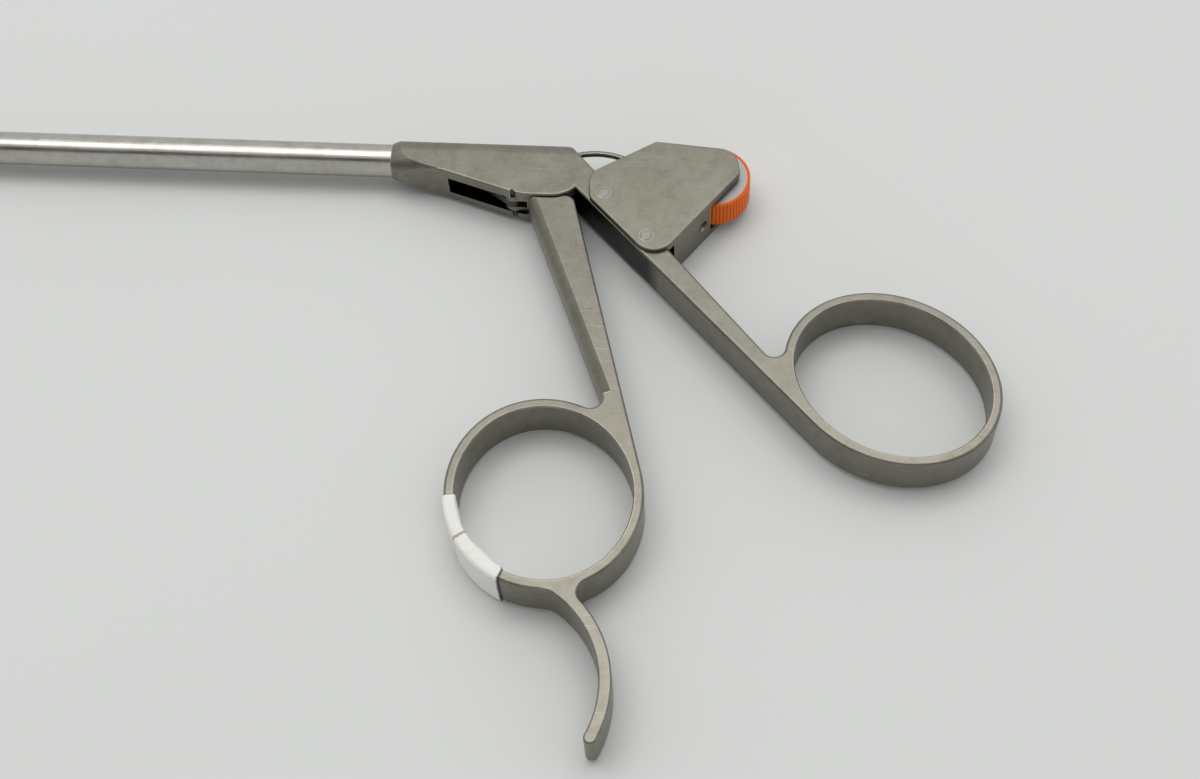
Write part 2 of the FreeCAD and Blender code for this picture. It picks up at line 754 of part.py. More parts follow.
def actuating_rod():
    body = new_body("actuating_rod")
    front = drive_pin.x - S.rod_radius - 0.1
    drawing = across(body, "bar", [Part.Circle(Vector(), Z_AXIS, S.rod_radius)], (front, 0), 0)
    pad(body, drawing, str(rod_joint.x - front), "bar_pad", midplane=False)
    eye = S.rod_radius + 0.1
    pad(body, sketch(body, "eye", [Part.Circle(rod_joint, Z_AXIS, eye)]), "sizes.rod_eye_thickness", "eye_pad")
    # Flats on both sides of the eye pass between the leaves of the link.
    for side, label in ((1, "near"), (-1, "far")):
        level = side * S.rod_eye_thickness / 2
        offset = Placement(Vector(0, 0, level), Rotation())
        edges = loop([(rod_joint.x - S.link_eye_radius - 0.5, -3), (rod_joint.x - S.link_eye_radius - 0.5, 3),
                      (rod_joint.x + 4, 3), (rod_joint.x + 4, -3)])
        drawing = sketch(body, label + "_flat", edges, "XY_Plane", offset)
        pocket(body, drawing, "3", label + "_flat_cut", midplane=False, reverse=side > 0)
    pocket(body, disc(body, "rod_hole", rod_joint[:2], "rod_pin_radius", " + sizes.running_gap"), "10",
           "rod_bore")
    edges = loop([(front - 1, -3), (front - 1, 3), (S.jaw_pivot_x + 1.4, 3), (S.jaw_pivot_x + 1.4, -3)])
    pocket(body, sketch(body, "jaw_fork", edges), "sizes.jaw_tang_thickness + sizes.side_gap", "jaw_fork_cut")
    pocket(body, disc(body, "drive_hole", drive_pin[:2], "jaw_drive_radius"), "10", "drive_bore")
    return body


# Jaws

def jaw_profile(start, radius):
    """Half outline of a round-nosed jaw, to be turned about the shaft axis."""
    shoulder = jaw_tip_x + 6.0
    return [line((start, 0), (start, radius)), line((start, radius), (shoulder, radius)),
            bow((shoulder, radius), (jaw_tip_x + 2.2, radius * 0.8), (jaw_tip_x, S.jaw_tip_radius * 0.75)),
            line((jaw_tip_x, S.jaw_tip_radius * 0.75), (jaw_tip_x, 0)), line((jaw_tip_x, 0), (start, 0))]


def box_cut(body, name, low, high, expression):
    """Pocket of a rectangle in the XY plane, centred on the plane of the shaft."""
    edges = loop([(low[0], low[1]), (low[0], high[1]), (high[0], high[1]), (high[0], low[1])])
    return pocket(body, sketch(body, name, edges), expression, name + "_cut")


def teeth(body, name, level, side, first, last, phase):
    """Row of cross grooves along a jaw edge."""
    start = first - phase * S.tooth_pitch
    half = S.tooth_pitch / 2
    peak = level + side * 0.02
    edges = [line((start, level - side * S.tooth_depth), (start + half * 0.8, peak)),
             line((start + half * 0.8, peak), (start - half * 0.8, peak)),
             line((start - half * 0.8, peak), (start, level - side * S.tooth_depth))]
    cut = pocket(body, sketch(body, name, edges), "8", name + "_groove")
    pattern = body.newObject("PartDesign::LinearPattern", body.Name + "_" + name + "_row")
    pattern.Originals = [cut]
    pattern.Direction = (origin_plane(body, "X_Axis"), [""])
    count = int((start - last) / S.tooth_pitch)
    pattern.Reversed = True
    pattern.Length = (count - 1) * S.tooth_pitch
    pattern.Occurrences = count
    body.Tip = pattern
    doc.recompute()
    return pattern


def needle_path():
    return rounded_wire([(S.guide_end, -S.guide_offset, 0), (S.needle_x, -S.guide_offset, 0, S.needle_bend),
                         (S.needle_x, S.needle_height, 0)])


def lower_jaw():
    body = new_body("lower_jaw_blank")
    spigot = S.shaft_end + S.spigot_length
    bore = shaft_bore - 0.02
    neck = S.shaft_radius - S.neck_depth
    neck_end = S.shaft_end - S.neck_length
    turned = [line((spigot, 0), (spigot, bore)), line((spigot, bore), (S.shaft_end, bore)),
              line((S.shaft_end, bore), (S.shaft_end, neck)), line((S.shaft_end, neck), (neck_end, neck)),
              line((neck_end, neck), (neck_end, jaw_radius))]
    turned += jaw_profile(neck_end, jaw_radius)[1:-1] + [line((jaw_tip_x, 0), (spigot, 0))]
    spin(body, sketch(body, "turned", turned), "turned_solid")
    cheek_front = S.jaw_pivot_x - S.jaw_face_back + 0.3
    box_cut(body, "mouth", (jaw_tip_x - 1, -S.jaw_gap), (cheek_front, 5), "10")
    floor = -S.rod_radius - S.running_gap
    box_cut(body, "clevis", (cheek_front - 1.7, floor), (S.shaft_end - 0.5, 5), "sizes.jaw_slot_width")
    drawing = across(body, "rod_channel", [Part.Circle(Vector(), Z_AXIS, S.rod_radius + S.running_gap)],
                     (spigot + 1, 0), 180)
    pocket(body, drawing, str(S.spigot_length + 3), "rod_channel_cut", midplane=False, reverse=True)
    drawing = across(body, "guide_channel", [Part.Circle(Vector(0, 0, 0), Z_AXIS, S.guide_radius + 0.02)],
                     (spigot + 1, -S.guide_offset), 180)
    pocket(body, drawing, str(spigot + 1 - S.guide_end), "guide_channel_cut", midplane=False, reverse=True)
    pin_hole = disc(body, "pivot_hole", jaw_pivot[:2], "jaw_pin_radius")
    pocket(body, pin_hole, "10", "pivot_bore")
    box_cut(body, "trough", (jaw_tip_x + 1.7, -0.85), (cheek_front - 1.2, 1), "2")
    teeth(body, "tooth", -S.jaw_gap, 1, cheek_front - 1.2, jaw_tip_x + 0.8, 0)
    tool = feature_of("needle_passage", pipe(needle_path(), S.needle_radius))
    cut = doc.addObject("Part::Cut", "lower_jaw")
    cut.Label = "lower_jaw"
    cut.Base = body
    cut.Tool = tool
    doc.recompute()
    return cut


def upper_jaw():
    body = new_body("upper_jaw")
    face = S.jaw_pivot_x - S.jaw_face_back
    spin(body, sketch(body, "turned", jaw_profile(face, jaw_radius)), "turned_solid")
    box_cut(body, "mouth", (jaw_tip_x - 1, -5), (face + 1, S.jaw_gap), "10")
    box_cut(body, "trough", (jaw_tip_x + 1.7, -1), (face - 1.2, 0.85), "2")
    window = S.window_length / 2
    box_cut(body, "window", (S.needle_x - window, -1), (S.needle_x + window, 5), "sizes.window_width")
    teeth(body, "tooth", S.jaw_gap, -1, face - 1.5, jaw_tip_x + 0.8, 0.5)
    # Thin tang between the jaw and its pivot, with a forked heel for the drive pin.
    boss = 0.86
    edges = loop([(face - 1.0, S.jaw_gap + 0.05), (face - 1.0, S.jaw_pivot_y + boss - 0.1),
                  (S.jaw_pivot_x + boss, S.jaw_pivot_y + boss - 0.1, boss - 0.02),
                  (S.jaw_pivot_x + boss, S.jaw_pivot_y - boss, boss - 0.1), (S.jaw_pivot_x - 1.2, S.jaw_gap + 0.05, 0.4)])
    pad(body, sketch(body, "tang", edges), "sizes.jaw_tang_thickness", "tang_pad")
    heel = unit(-90 + S.jaw_open / 2)
    side = unit(S.jaw_open / 2)
    outer = S.jaw_pivot_y / math.cos(math.radians(S.jaw_open / 2)) + 0.4
    width = S.jaw_drive_radius + S.loose_gap
    corners = [jaw_pivot - side * (width + 0.42), jaw_pivot - side * (width + 0.42) + heel * outer,
               jaw_pivot + side * (width + 0.42) + heel * outer, jaw_pivot + side * (width + 0.42)]
    pad(body, sketch(body, "heel", loop([(c.x, c.y) for c in corners])), "sizes.jaw_tang_thickness", "heel_pad")
    inner = S.jaw_pivot_y - S.jaw_drive_radius - S.loose_gap
    corners = [jaw_pivot - side * width + heel * inner, jaw_pivot - side * width + heel * 4,
               jaw_pivot + side * width + heel * 4, jaw_pivot + side * width + heel * inner]
    pocket(body, sketch(body, "heel_slot", loop([(c.x, c.y) for c in corners])), "10", "heel_slot_cut")
    pocket(body, disc(body, "pivot_hole", jaw_pivot[:2], "jaw_pin_radius", " + sizes.running_gap"), "10",
           "pivot_bore")
    body.Placement = Placement(Vector(), Rotation(Z_AXIS, -S.jaw_open), jaw_pivot)
    return body


# Tubes

def ring_section(obj_name, path, outer, inner):
    return feature_of(obj_name, pipe(path, outer).cut(pipe(path, inner)))


def guide_path():
    """Route of the thread tube from the wheel to the needle."""
    heading = S.nip_angle - 90
    mouth = nip + unit(heading) * 2.2 + unit(S.nip_angle) * 0.15
    first = mouth + unit(heading) * 1.4
    arch = first + unit(152) * 11.3
    drop = (arch.y - S.guide_offset) / math.tan(math.radians(18))
    side = S.guide_offset
    points = [(mouth.x, mouth.y, 0), (first.x, first.y, 0, 3.5), (arch.x, arch.y, 0, 10.0),
              (arch.x - drop, side, 0, 8.0)]
    # Inside the shaft the tube winds half round the rod, to reach the fixed lower jaw.
    for step in range(5):
        turn = math.radians(45 * step)
        points.append((-20.0 - 12.0 * step, side * math.cos(turn), side * math.sin(turn), 30.0))
    points.append((S.guide_end, -side, 0))
    return rounded_wire(points)


# Wheel housing, wheel and roller

def web_frame():
    corner_point = flat(plate_points()[3])
    upper = flat(plate_points()[4])
    along = (upper - corner_point).normalize()
    inward = Vector(-along.y, along.x, 0)
    return corner_point, along, inward


def roller_housing():
    body = new_body("roller_housing")
    blank = pad(body, sketch(body, "outline", loop(plate_points())), "sizes.housing_thickness", "blank")
    soften(body, blank, on_faces(S.housing_thickness / 2), "0.25", "edges")
    low, along, inward = web_frame()
    corners = [low + along * 4.6 - inward, low + along * 4.6 + inward * (S.web_width - 0.4),
               low + along * 13.0 + inward * S.web_width, low + along * 13.0 - inward]
    edges = loop([(c.x, c.y) for c in corners] + [(64, -4), (64, 12), (22, 12), (22, -28), (40, -28)])
    inner = "sizes.housing_thickness - 2 * sizes.plate_thickness"
    pocket(body, sketch(body, "inside", edges), inner, "inside_cut")
    pocket(body, disc(body, "wheel_room", wheel[:2], "tyre_radius", " + 2 * sizes.wheel_side_gap"), inner,
           "wheel_room_cut")
    for label, centre in (("front", front_pin), ("rear", rear_pin)):
        pocket(body, disc(body, label + "_hole", centre, "housing_pin_radius"),
               "sizes.housing_thickness + 2", label + "_bore")
    # Both axles are let in from the far side and stop inside the near cheek.
    for label, centre, size in (("wheel", wheel, "wheel_axle_radius"), ("roller", roller, "roller_axle_radius")):
        drawing = disc(body, label + "_hole", centre[:2], size)
        drawing.AttachmentOffset = Placement(Vector(0, 0, -S.housing_thickness / 2 - 1), Rotation())
        pocket(body, drawing, "sizes.housing_thickness + 1 - sizes.plate_thickness / 2", label + "_bore",
               midplane=False, reverse=True)
    # Thread inlet: a drilled hole aimed at the nip, with a tapered mouth.
    entry = low + along * 11.35
    heading = bearing(nip - entry)
    start = entry - unit(heading) * 2
    drawing = across(body, "inlet", [Part.Circle(Vector(), Z_AXIS, S.inlet_radius)], start[:2], heading)
    pocket(body, drawing, str((nip - start).Length), "inlet_bore", midplane=False, reverse=True)
    drawing = across(body, "inlet_mouth", [Part.Circle(Vector(), Z_AXIS, S.inlet_mouth_radius)],
                     (entry - unit(heading) * 0.6)[:2], heading)
    mouth = pocket(body, drawing, "1.3", "inlet_cone", midplane=False, reverse=True)
    mouth.TaperAngle = -22
    doc.recompute()
    return body


def wheel_hub():
    body = new_body("drive_wheel_hub")
    pad(body, disc(body, "disc", wheel[:2], "tyre_radius", " - sizes.tyre_wall"), "sizes.tyre_width", "disc_pad")
    pad(body, disc(body, "boss", wheel[:2], "hub_boss_radius"),
        "sizes.housing_thickness - 2 * sizes.plate_thickness - 2 * sizes.wheel_side_gap", "boss_pad")
    pocket(body, disc(body, "bore", wheel[:2], "wheel_axle_radius", " + sizes.running_gap"), "20", "bore_cut")
    return body


def wheel_tyre():
    body = new_body("drive_wheel_tyre")
    count = int(S.tyre_ribs)
    rim = []
    for i in range(count):
        for share, radius in ((0, S.tyre_radius - S.rib_depth), (0.25, S.tyre_radius), (0.7, S.tyre_radius),
                              (0.95, S.tyre_radius - S.rib_depth)):
            spot = wheel + unit((i + share) * 360 / count) * radius
            rim.append((spot.x, spot.y))
    pad(body, sketch(body, "rim", loop(rim)), "sizes.tyre_width", "rim_pad")
    pocket(body, disc(body, "seat", wheel[:2], "tyre_radius", " - sizes.tyre_wall"), "20", "seat_cut")
    return body


def pinch_roller():
    body = new_body("pinch_roller")
    pad(body, disc(body, "disc", roller[:2], "roller_radius"), "sizes.tyre_width", "disc_pad")
    boss = S.roller_axle_radius + 0.4
    pad(body, sketch(body, "boss", [Part.Circle(roller, Z_AXIS, boss)]),
        "sizes.housing_thickness - 2 * sizes.plate_thickness - 2 * sizes.wheel_side_gap", "boss_pad")
    pocket(body, disc(body, "bore", roller[:2], "roller_axle_radius", " + sizes.running_gap"), "20", "bore_cut")
    return body


def tape(name, first, last, thickness):
    """Closed band of tape round the ring between two angles."""
    def slab(oval, height):
        face = Part.Face(Part.Wire(oval.ellipse().toShape()))
        face.translate(Vector(0, 0, -height / 2))
        return face.extrude(Vector(0, 0, height))
    height = S.frame_thickness + 2 * thickness
    band = slab(front_outer.grown(thickness), height).cut(slab(front_inner.grown(-thickness), height + 2))
    ring = slab(front_outer, S.frame_thickness).cut(slab(front_inner, S.frame_thickness + 2))
    centre = front_inner.centre
    wedge_points = [centre, centre + unit(first) * 40, centre + unit((first + last) / 2) * 60,
                    centre + unit(last) * 40, centre]
    wedge = Part.Face(Part.makePolygon(wedge_points))
    wedge.translate(Vector(0, 0, -20))
    return feature_of(name, band.cut(ring).common(wedge.extrude(Vector(0, 0, 40))))


def shaft_tube():
    """Tube that stands on the nose with a shoulder; its turned-down end is brazed into the frame."""
    along = Vector(1, 0, 0)
    start = Vector(S.shaft_end, 0, 0)
    outer = Part.makeCylinder(S.shaft_radius, -S.shaft_end, start, along)
    seat = Part.makeCylinder(seat_radius, S.shaft_seat, Vector(), along)
    bore = Part.makeCylinder(shaft_bore, S.shaft_seat - S.shaft_end, start, along)
    return outer.fuse(seat).cut(bore)


def small_parts():
    """Pins, axles, spacers, tubes and tape."""
    nodes = []
    half = "sizes.frame_thickness / 2"
    nodes.append(pin("handle_pivot_pin", pivot, "pivot_pin_radius", "-" + half, half))
    tang = "sizes.tang_thickness / 2"
    nodes.append(pin("tang_link_pin", link_pin, "link_pin_radius", "-" + tang, tang))
    fork = "sizes.link_front_thickness / 2"
    nodes.append(pin("rod_pin", rod_joint, "rod_pin_radius", "-" + fork, fork))
    nodes.append(pin("jaw_pivot_pin", jaw_pivot, "jaw_pin_radius", "-1.4", "1.4"))
    nodes.append(pin("jaw_drive_pin", drive_pin, "jaw_drive_radius", "-0.85", "0.85"))
    far = "-sizes.housing_thickness / 2"
    near = "sizes.housing_thickness / 2 - sizes.plate_thickness / 2"
    nodes.append(pin("wheel_axle", wheel, "wheel_axle_radius", far, near))
    nodes.append(pin("roller_axle", roller, "roller_axle_radius", far, near))
    rivets = []
    for centre in (front_pin, rear_pin):
        long = S.housing_thickness
        rod = Part.makeCylinder(S.housing_pin_radius, long, Vector(centre[0], centre[1], -long / 2))
        head = Part.makeCone(S.housing_pin_radius, S.housing_pin_radius - 2 * S.pin_head, S.pin_head,
                             Vector(centre[0], centre[1], long / 2))
        rivets.append(rod.fuse(head).removeSplitter())
    nodes.append(feature_of("housing_pins", Part.makeCompound(rivets)))
    nodes.append(feature_of("shaft_tube", shaft_tube()))
    nodes.append(ring_section("suture_guide_tube", guide_path(), S.guide_radius, S.guide_bore))
    # The needle tip is ground to a bevel that faces the handle.
    needle = pipe(needle_path(), S.needle_radius).cut(pipe(needle_path(), S.needle_bore))
    bevel = Part.makeBox(6, 6, 6, Vector(-3, 0, -3))
    bevel.Placement = Placement(Vector(S.needle_x - S.needle_radius, S.needle_height, 0), Rotation(Z_AXIS, -55))
    nodes.append(feature_of("suture_needle", needle.cut(bevel)))
    spacers = []
    for x, side in ((S.spacer_rear_x, 1), (S.spacer_front_x, -1)):
        disc_shape = Part.makeCylinder(shaft_bore - 0.02, S.spacer_length, Vector(x, 0, 0), Vector(1, 0, 0))
        rod = Part.makeCylinder(S.rod_radius + S.running_gap, S.spacer_length, Vector(x, 0, 0), Vector(1, 0, 0))
        notch = Part.makeCylinder(S.guide_radius + 0.02, S.spacer_length,
                                  Vector(x, side * S.guide_offset, 0), Vector(1, 0, 0))
        spacers.append(disc_shape.cut(rod).cut(notch))
    nodes.append(feature_of("rod_spacers", Part.makeCompound(spacers)))
    end = hook_root() - S.tape_end_gap
    seam = end - S.tape_lower_span
    nodes.append(tape("ring_tape_upper", seam - S.tape_upper_span, seam, S.tape_upper_thickness))
    nodes.append(tape("ring_tape_lower", seam, end, S.tape_lower_thickness))
    return nodes


def bored_frame():
    """Frame with the passage of the thread tube drilled through its tail."""
    body = frame()
    body.Label = "frame_forging"
    whole = guide_path()
    passage = feature_of("guide_passage", pipe(Part.Wire(whole.Edges[2:7]), S.guide_radius + 0.02))
    cut = doc.addObject("Part::Cut", "frame_cut")
    cut.Base = body
    cut.Tool = passage
    doc.recompute()
    cut.Label = "frame"
    return cut


nodes = [bored_frame(), front_handle(), rod_link(), actuating_rod(), lower_jaw(), upper_jaw(), roller_housing(),
         wheel_hub(), wheel_tyre(), pinch_roller()] + small_parts()
doc.recompute()
for obj in doc.Objects:
    if "Invalid" in obj.State or "Error" in obj.State:
        raise RuntimeError("failed object " + obj.Name)
for node in nodes:
    if node.Shape.isNull() or not node.Shape.isValid():
        raise RuntimeError("bad shape " + node.Label)

os.makedirs("parts", exist_ok=True)
for node in nodes:
    node.Shape.exportStep(os.path.join("parts", node.Label + ".step"))
    print("%-20s solids %d volume %8.2f" % (node.Label, len(node.Shape.Solids), node.Shape.Volume))
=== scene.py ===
"""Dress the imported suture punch: its metal, rubber and plastic finishes, the tape on its front ring,
and the pale table that it lies on."""

import math

import bmesh
import bpy
from mathutils import Matrix, Vector


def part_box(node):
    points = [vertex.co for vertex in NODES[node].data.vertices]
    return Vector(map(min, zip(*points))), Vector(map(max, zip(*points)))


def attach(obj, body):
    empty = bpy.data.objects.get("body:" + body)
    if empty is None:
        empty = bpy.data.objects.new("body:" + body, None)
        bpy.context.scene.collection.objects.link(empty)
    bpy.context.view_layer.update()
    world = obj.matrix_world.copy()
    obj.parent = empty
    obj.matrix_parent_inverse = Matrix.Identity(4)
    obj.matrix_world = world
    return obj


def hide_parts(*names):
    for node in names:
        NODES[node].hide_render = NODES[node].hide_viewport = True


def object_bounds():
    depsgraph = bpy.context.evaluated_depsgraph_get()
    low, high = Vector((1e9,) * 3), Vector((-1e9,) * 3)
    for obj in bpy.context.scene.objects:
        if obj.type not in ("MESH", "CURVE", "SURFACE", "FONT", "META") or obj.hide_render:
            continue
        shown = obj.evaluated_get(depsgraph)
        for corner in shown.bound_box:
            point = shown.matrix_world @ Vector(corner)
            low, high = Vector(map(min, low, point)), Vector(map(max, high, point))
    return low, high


bl_info = {
    "name": "Suture punch dressing",
    "version": (1, 0, 0),
    "blender": (4, 5, 0),
    "location": "3D View > Sidebar > Punch",
    "description": "Finishes, ring tape and table for the packed suture punch",
    "category": "Object",
}

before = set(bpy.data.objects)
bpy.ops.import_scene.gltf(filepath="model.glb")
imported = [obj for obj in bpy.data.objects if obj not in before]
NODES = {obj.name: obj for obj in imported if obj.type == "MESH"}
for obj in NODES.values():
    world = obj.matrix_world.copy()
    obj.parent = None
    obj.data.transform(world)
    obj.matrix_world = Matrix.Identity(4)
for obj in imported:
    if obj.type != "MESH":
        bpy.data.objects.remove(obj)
CAD_BOX = [list(corner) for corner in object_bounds()]
MM = 0.001


def node_centre(name):
    low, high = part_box(name)
    return (low + high) / 2


WHEEL_CENTRE = node_centre("drive_wheel_hub")
TABLE_LEVEL = CAD_BOX[0][2]


# Sizes and colours

class PunchFinishes(bpy.types.PropertyGroup):
    """Colours of the punch, as they look in plain light."""

    forging: bpy.props.FloatVectorProperty(
        name="Forged steel", description="Body, arm and front handle",
        subtype="COLOR", size=3, min=0, max=1, default=(0.182, 0.172, 0.138))
    # Also the colour of the painted highlights along the edges.
    forging_bright: bpy.props.FloatVectorProperty(
        name="Rubbed edges", description="Edges of the forgings that hands have polished",
        subtype="COLOR", size=3, min=0, max=1, default=(0.52, 0.505, 0.45))
    plate: bpy.props.FloatVectorProperty(
        name="Housing plate", description="Cheeks of the wheel housing",
        subtype="COLOR", size=3, min=0, max=1, default=(0.195, 0.186, 0.15))
    tube: bpy.props.FloatVectorProperty(
        name="Drawn tube", description="Shaft and thread tube",
        subtype="COLOR", size=3, min=0, max=1, default=(0.43, 0.418, 0.38))
    pin: bpy.props.FloatVectorProperty(
        name="Pins", description="Pins, axles and the needle",
        subtype="COLOR", size=3, min=0, max=1, default=(0.30, 0.292, 0.265))
    hub: bpy.props.FloatVectorProperty(
        name="Wheel disc", description="Turned aluminium inside the tyre",
        subtype="COLOR", size=3, min=0, max=1, default=(0.33, 0.33, 0.328))
    tyre: bpy.props.FloatVectorProperty(
        name="Tyre", description="Ribbed tyre of the thumb wheel",
        subtype="COLOR", size=3, min=0, max=1, default=(0.93, 0.17, 0.006))
    plastic: bpy.props.FloatVectorProperty(
        name="Plastic", description="Pinch roller and rod spacers",
        subtype="COLOR", size=3, min=0, max=1, default=(0.62, 0.61, 0.57))
    tape: bpy.props.FloatVectorProperty(
        name="Tape", description="White tape on the front ring",
        subtype="COLOR", size=3, min=0, max=1, default=(0.84, 0.835, 0.785))
    table: bpy.props.FloatVectorProperty(
        name="Table", description="Table and background",
        subtype="COLOR", size=3, min=0, max=1, default=(0.695, 0.708, 0.695))


class PunchSizes(bpy.types.PropertyGroup):
    """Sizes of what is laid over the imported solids, and of the light."""

    tape_crease: bpy.props.FloatProperty(
        name="Tape crease", description="Height of the creases in the tape",
        default=0.05 * MM, min=0, max=0.2 * MM, unit="LENGTH", precision=6)
    tape_sway: bpy.props.FloatProperty(
        name="Tape sway", description="How far the cut ends of the tape wander",
        default=math.radians(0.7), min=0, max=math.radians(3), unit="ROTATION")
    # Width of the painted edge highlight, which partly stands for real polish.
    glint_reach: bpy.props.FloatProperty(
        name="Rubbed width", description="Width of the bright line along an edge",
        default=0.32 * MM, min=0.02 * MM, max=1 * MM, unit="LENGTH", precision=6)
    lamp_height: bpy.props.FloatProperty(
        name="Lamp height", description="Height of the long lamp over the table",
        default=0.95, min=0.3, max=3, unit="LENGTH")
    lamp_power: bpy.props.FloatProperty(
        name="Lamp power", description="Power of the long lamp",
        default=3.75, min=0, max=50, unit="POWER")


# Shader boards

class Board:
    """A node tree that is filled one node at a time."""

    def __init__(self, tree):
        self.tree = tree

    def put(self, kind, sockets=None, **settings):
        node = self.tree.nodes.new("ShaderNode" + kind)
        for name, value in settings.items():
            setattr(node, name, value)
        for name, value in (sockets or {}).items():
            if isinstance(value, bpy.types.NodeSocket):
                self.tree.links.new(value, node.inputs[name])
            else:
                node.inputs[name].default_value = value
        return node

    def sum(self, first, second, operation="ADD"):
        return self.put("Math", {0: first, 1: second}, operation=operation).outputs[0]

    def span(self, value, low, high, start=0.0, end=1.0):
        """Map a value from one range to another, and stay inside it."""
        return self.put("MapRange", {"Value": value, "From Min": low, "From Max": high,
                                     "To Min": start, "To Max": end}).outputs["Result"]

    def blend(self, share, first, second, mode="MIX"):
        node = self.put("Mix", data_type="RGBA", blend_type=mode)
        for socket, value in ((node.inputs[0], share), (node.inputs[6], first), (node.inputs[7], second)):
            if isinstance(value, bpy.types.NodeSocket):
                self.tree.links.new(value, socket)
            else:
                socket.default_value = value
        return node.outputs[2]

    def speckle(self, place, scale, detail=3.0, rough=0.55):
        return self.put("TexNoise", {"Vector": place, "Scale": scale, "Detail": detail,
                                     "Roughness": rough}).outputs["Fac"]


def group_board(name, inputs, outputs):
    """Start a node group with named sockets: its board, its inputs and its output node."""
    tree = bpy.data.node_groups.new(name, "ShaderNodeTree")
    for label, kind, value in inputs:
        socket = tree.interface.new_socket(label, in_out="INPUT", socket_type="NodeSocket" + kind)
        if value is not None:
            socket.default_value = value
    for label, kind in outputs:
        tree.interface.new_socket(label, in_out="OUTPUT", socket_type="NodeSocket" + kind)
    board = Board(tree)
    source = tree.nodes.new("NodeGroupInput")
    sink = tree.nodes.new("NodeGroupOutput")
    return board, source.outputs, sink


def satin_grain():
    """Fine ground or blasted metal: colour, roughness and height, drawn out along a direction."""
    name = "satin_grain"
    if name in bpy.data.node_groups:
        return bpy.data.node_groups[name]
    board, given, sink = group_board(
        name,
        [("Tone", "Color", None), ("Bright", "Color", None), ("Stretch", "Vector", (1, 1, 1)),
         ("Pitch", "Float", 4000.0), ("Rough", "Float", 0.35), ("Scuffs", "Float", 0.5)],
        [("Color", "Color"), ("Roughness", "Float"), ("Height", "Float")])
    place = board.put("TexCoord").outputs["Object"]
    drawn = board.put("VectorMath", {0: place, 1: given["Stretch"]}, operation="MULTIPLY").outputs[0]
    grain = board.speckle(drawn, given["Pitch"], 4.0, 0.65)
    cloud = board.speckle(place, 140.0, 4.0, 0.6)
    stain = board.speckle(place, 480.0, 5.0, 0.7)
    turned = board.put("Mapping", {"Vector": place, "Rotation": (0.0, 0.0, 0.9),
                                   "Scale": (90.0, 2600.0, 900.0)}).outputs[0]
    scuff = board.span(board.speckle(turned, 1.0, 2.0, 0.5), 0.64, 0.74)
    scuff = board.sum(scuff, given["Scuffs"], "MULTIPLY")
    shade = board.blend(board.span(cloud, 0.3, 0.7, 0.0, 0.12), given["Tone"], given["Bright"])
    shade = board.blend(board.span(grain, 0.3, 0.72, 0.0, 0.16), shade, given["Bright"])
    dull = board.blend(1.0, given["Tone"], (0.56, 0.50, 0.42, 1.0), "MULTIPLY")
    shade = board.blend(board.span(stain, 0.45, 0.8, 0.0, 0.45), shade, dull)
    shade = board.blend(board.sum(scuff, 0.45, "MULTIPLY"), shade, given["Bright"])
    rough = board.sum(given["Rough"], board.span(grain, 0.3, 0.7, -0.07, 0.07))
    rough = board.sum(rough, board.span(cloud, 0.3, 0.7, -0.04, 0.05))
    rough = board.sum(rough, board.sum(scuff, 0.1, "MULTIPLY"), "SUBTRACT")
    height = board.sum(grain, board.sum(scuff, 0.6, "MULTIPLY"), "SUBTRACT")
    for socket, value in (("Color", shade), ("Roughness", rough), ("Height", height)):
        board.tree.links.new(value, sink.inputs[socket])
    return board.tree


def edge_rub():
    """Mask that is bright along outer edges: a painted highlight there, partly real polish where hands rub."""
    name = "edge_rub"
    if name in bpy.data.node_groups:
        return bpy.data.node_groups[name]
    board, given, sink = group_board(
        name, [("Reach", "Float", 0.0002), ("Amount", "Float", 1.0)], [("Mask", "Float")])
    soft = board.put("Bevel", {"Radius": given["Reach"]}, samples=6).outputs[0]
    sharp = board.put("NewGeometry").outputs["Normal"]
    match = board.put("VectorMath", {0: soft, 1: sharp}, operation="DOT_PRODUCT").outputs["Value"]
    bent = board.span(board.sum(1.0, match, "SUBTRACT"), 0.006, 0.07)
    place = board.put("TexCoord").outputs["Object"]
    patchy = board.span(board.speckle(place, 900.0, 4.0, 0.6), 0.3, 0.6, 0.45, 1.0)
    mask = board.sum(board.sum(bent, patchy, "MULTIPLY"), given["Amount"], "MULTIPLY")
    board.tree.links.new(mask, sink.inputs["Mask"])
    return board.tree


def hollow_dirt():
    """Mask that is bright in corners and slots: painted shade there, with a little grime."""
    name = "hollow_dirt"
    if name in bpy.data.node_groups:
        return bpy.data.node_groups[name]
    board, given, sink = group_board(
        name, [("Depth", "Float", 0.001), ("Amount", "Float", 1.0)], [("Mask", "Float")])
    open_sky = board.put("AmbientOcclusion", {"Distance": given["Depth"]}, samples=6).outputs["AO"]
    place = board.put("TexCoord").outputs["Object"]
    patchy = board.span(board.speckle(place, 1500.0, 4.0, 0.6), 0.3, 0.65, 0.6, 1.0)
    shut = board.span(open_sky, 0.25, 0.85, 1.0, 0.0)
    mask = board.sum(board.sum(shut, patchy, "MULTIPLY"), given["Amount"], "MULTIPLY")
    board.tree.links.new(mask, sink.inputs["Mask"])
    return board.tree


def rgba(colour):
    return (colour[0], colour[1], colour[2], 1.0)


def new_finish(name):
    """Empty material with one Principled shader: its board and that shader."""
    finish = bpy.data.materials.new(name)
    finish.use_nodes = True
    board = Board(finish.node_tree)
    finish.node_tree.nodes.clear()
    shader = board.put("BsdfPrincipled")
    output = board.put("OutputMaterial")
    finish.node_tree.links.new(shader.outputs[0], output.inputs["Surface"])
    return finish, board, shader


def bump(board, shader, height, strength, distance):
    raised = board.put("Bump", {"Height": height, "Strength": strength, "Distance": distance})
    board.tree.links.new(raised.outputs[0], shader.inputs["Normal"])


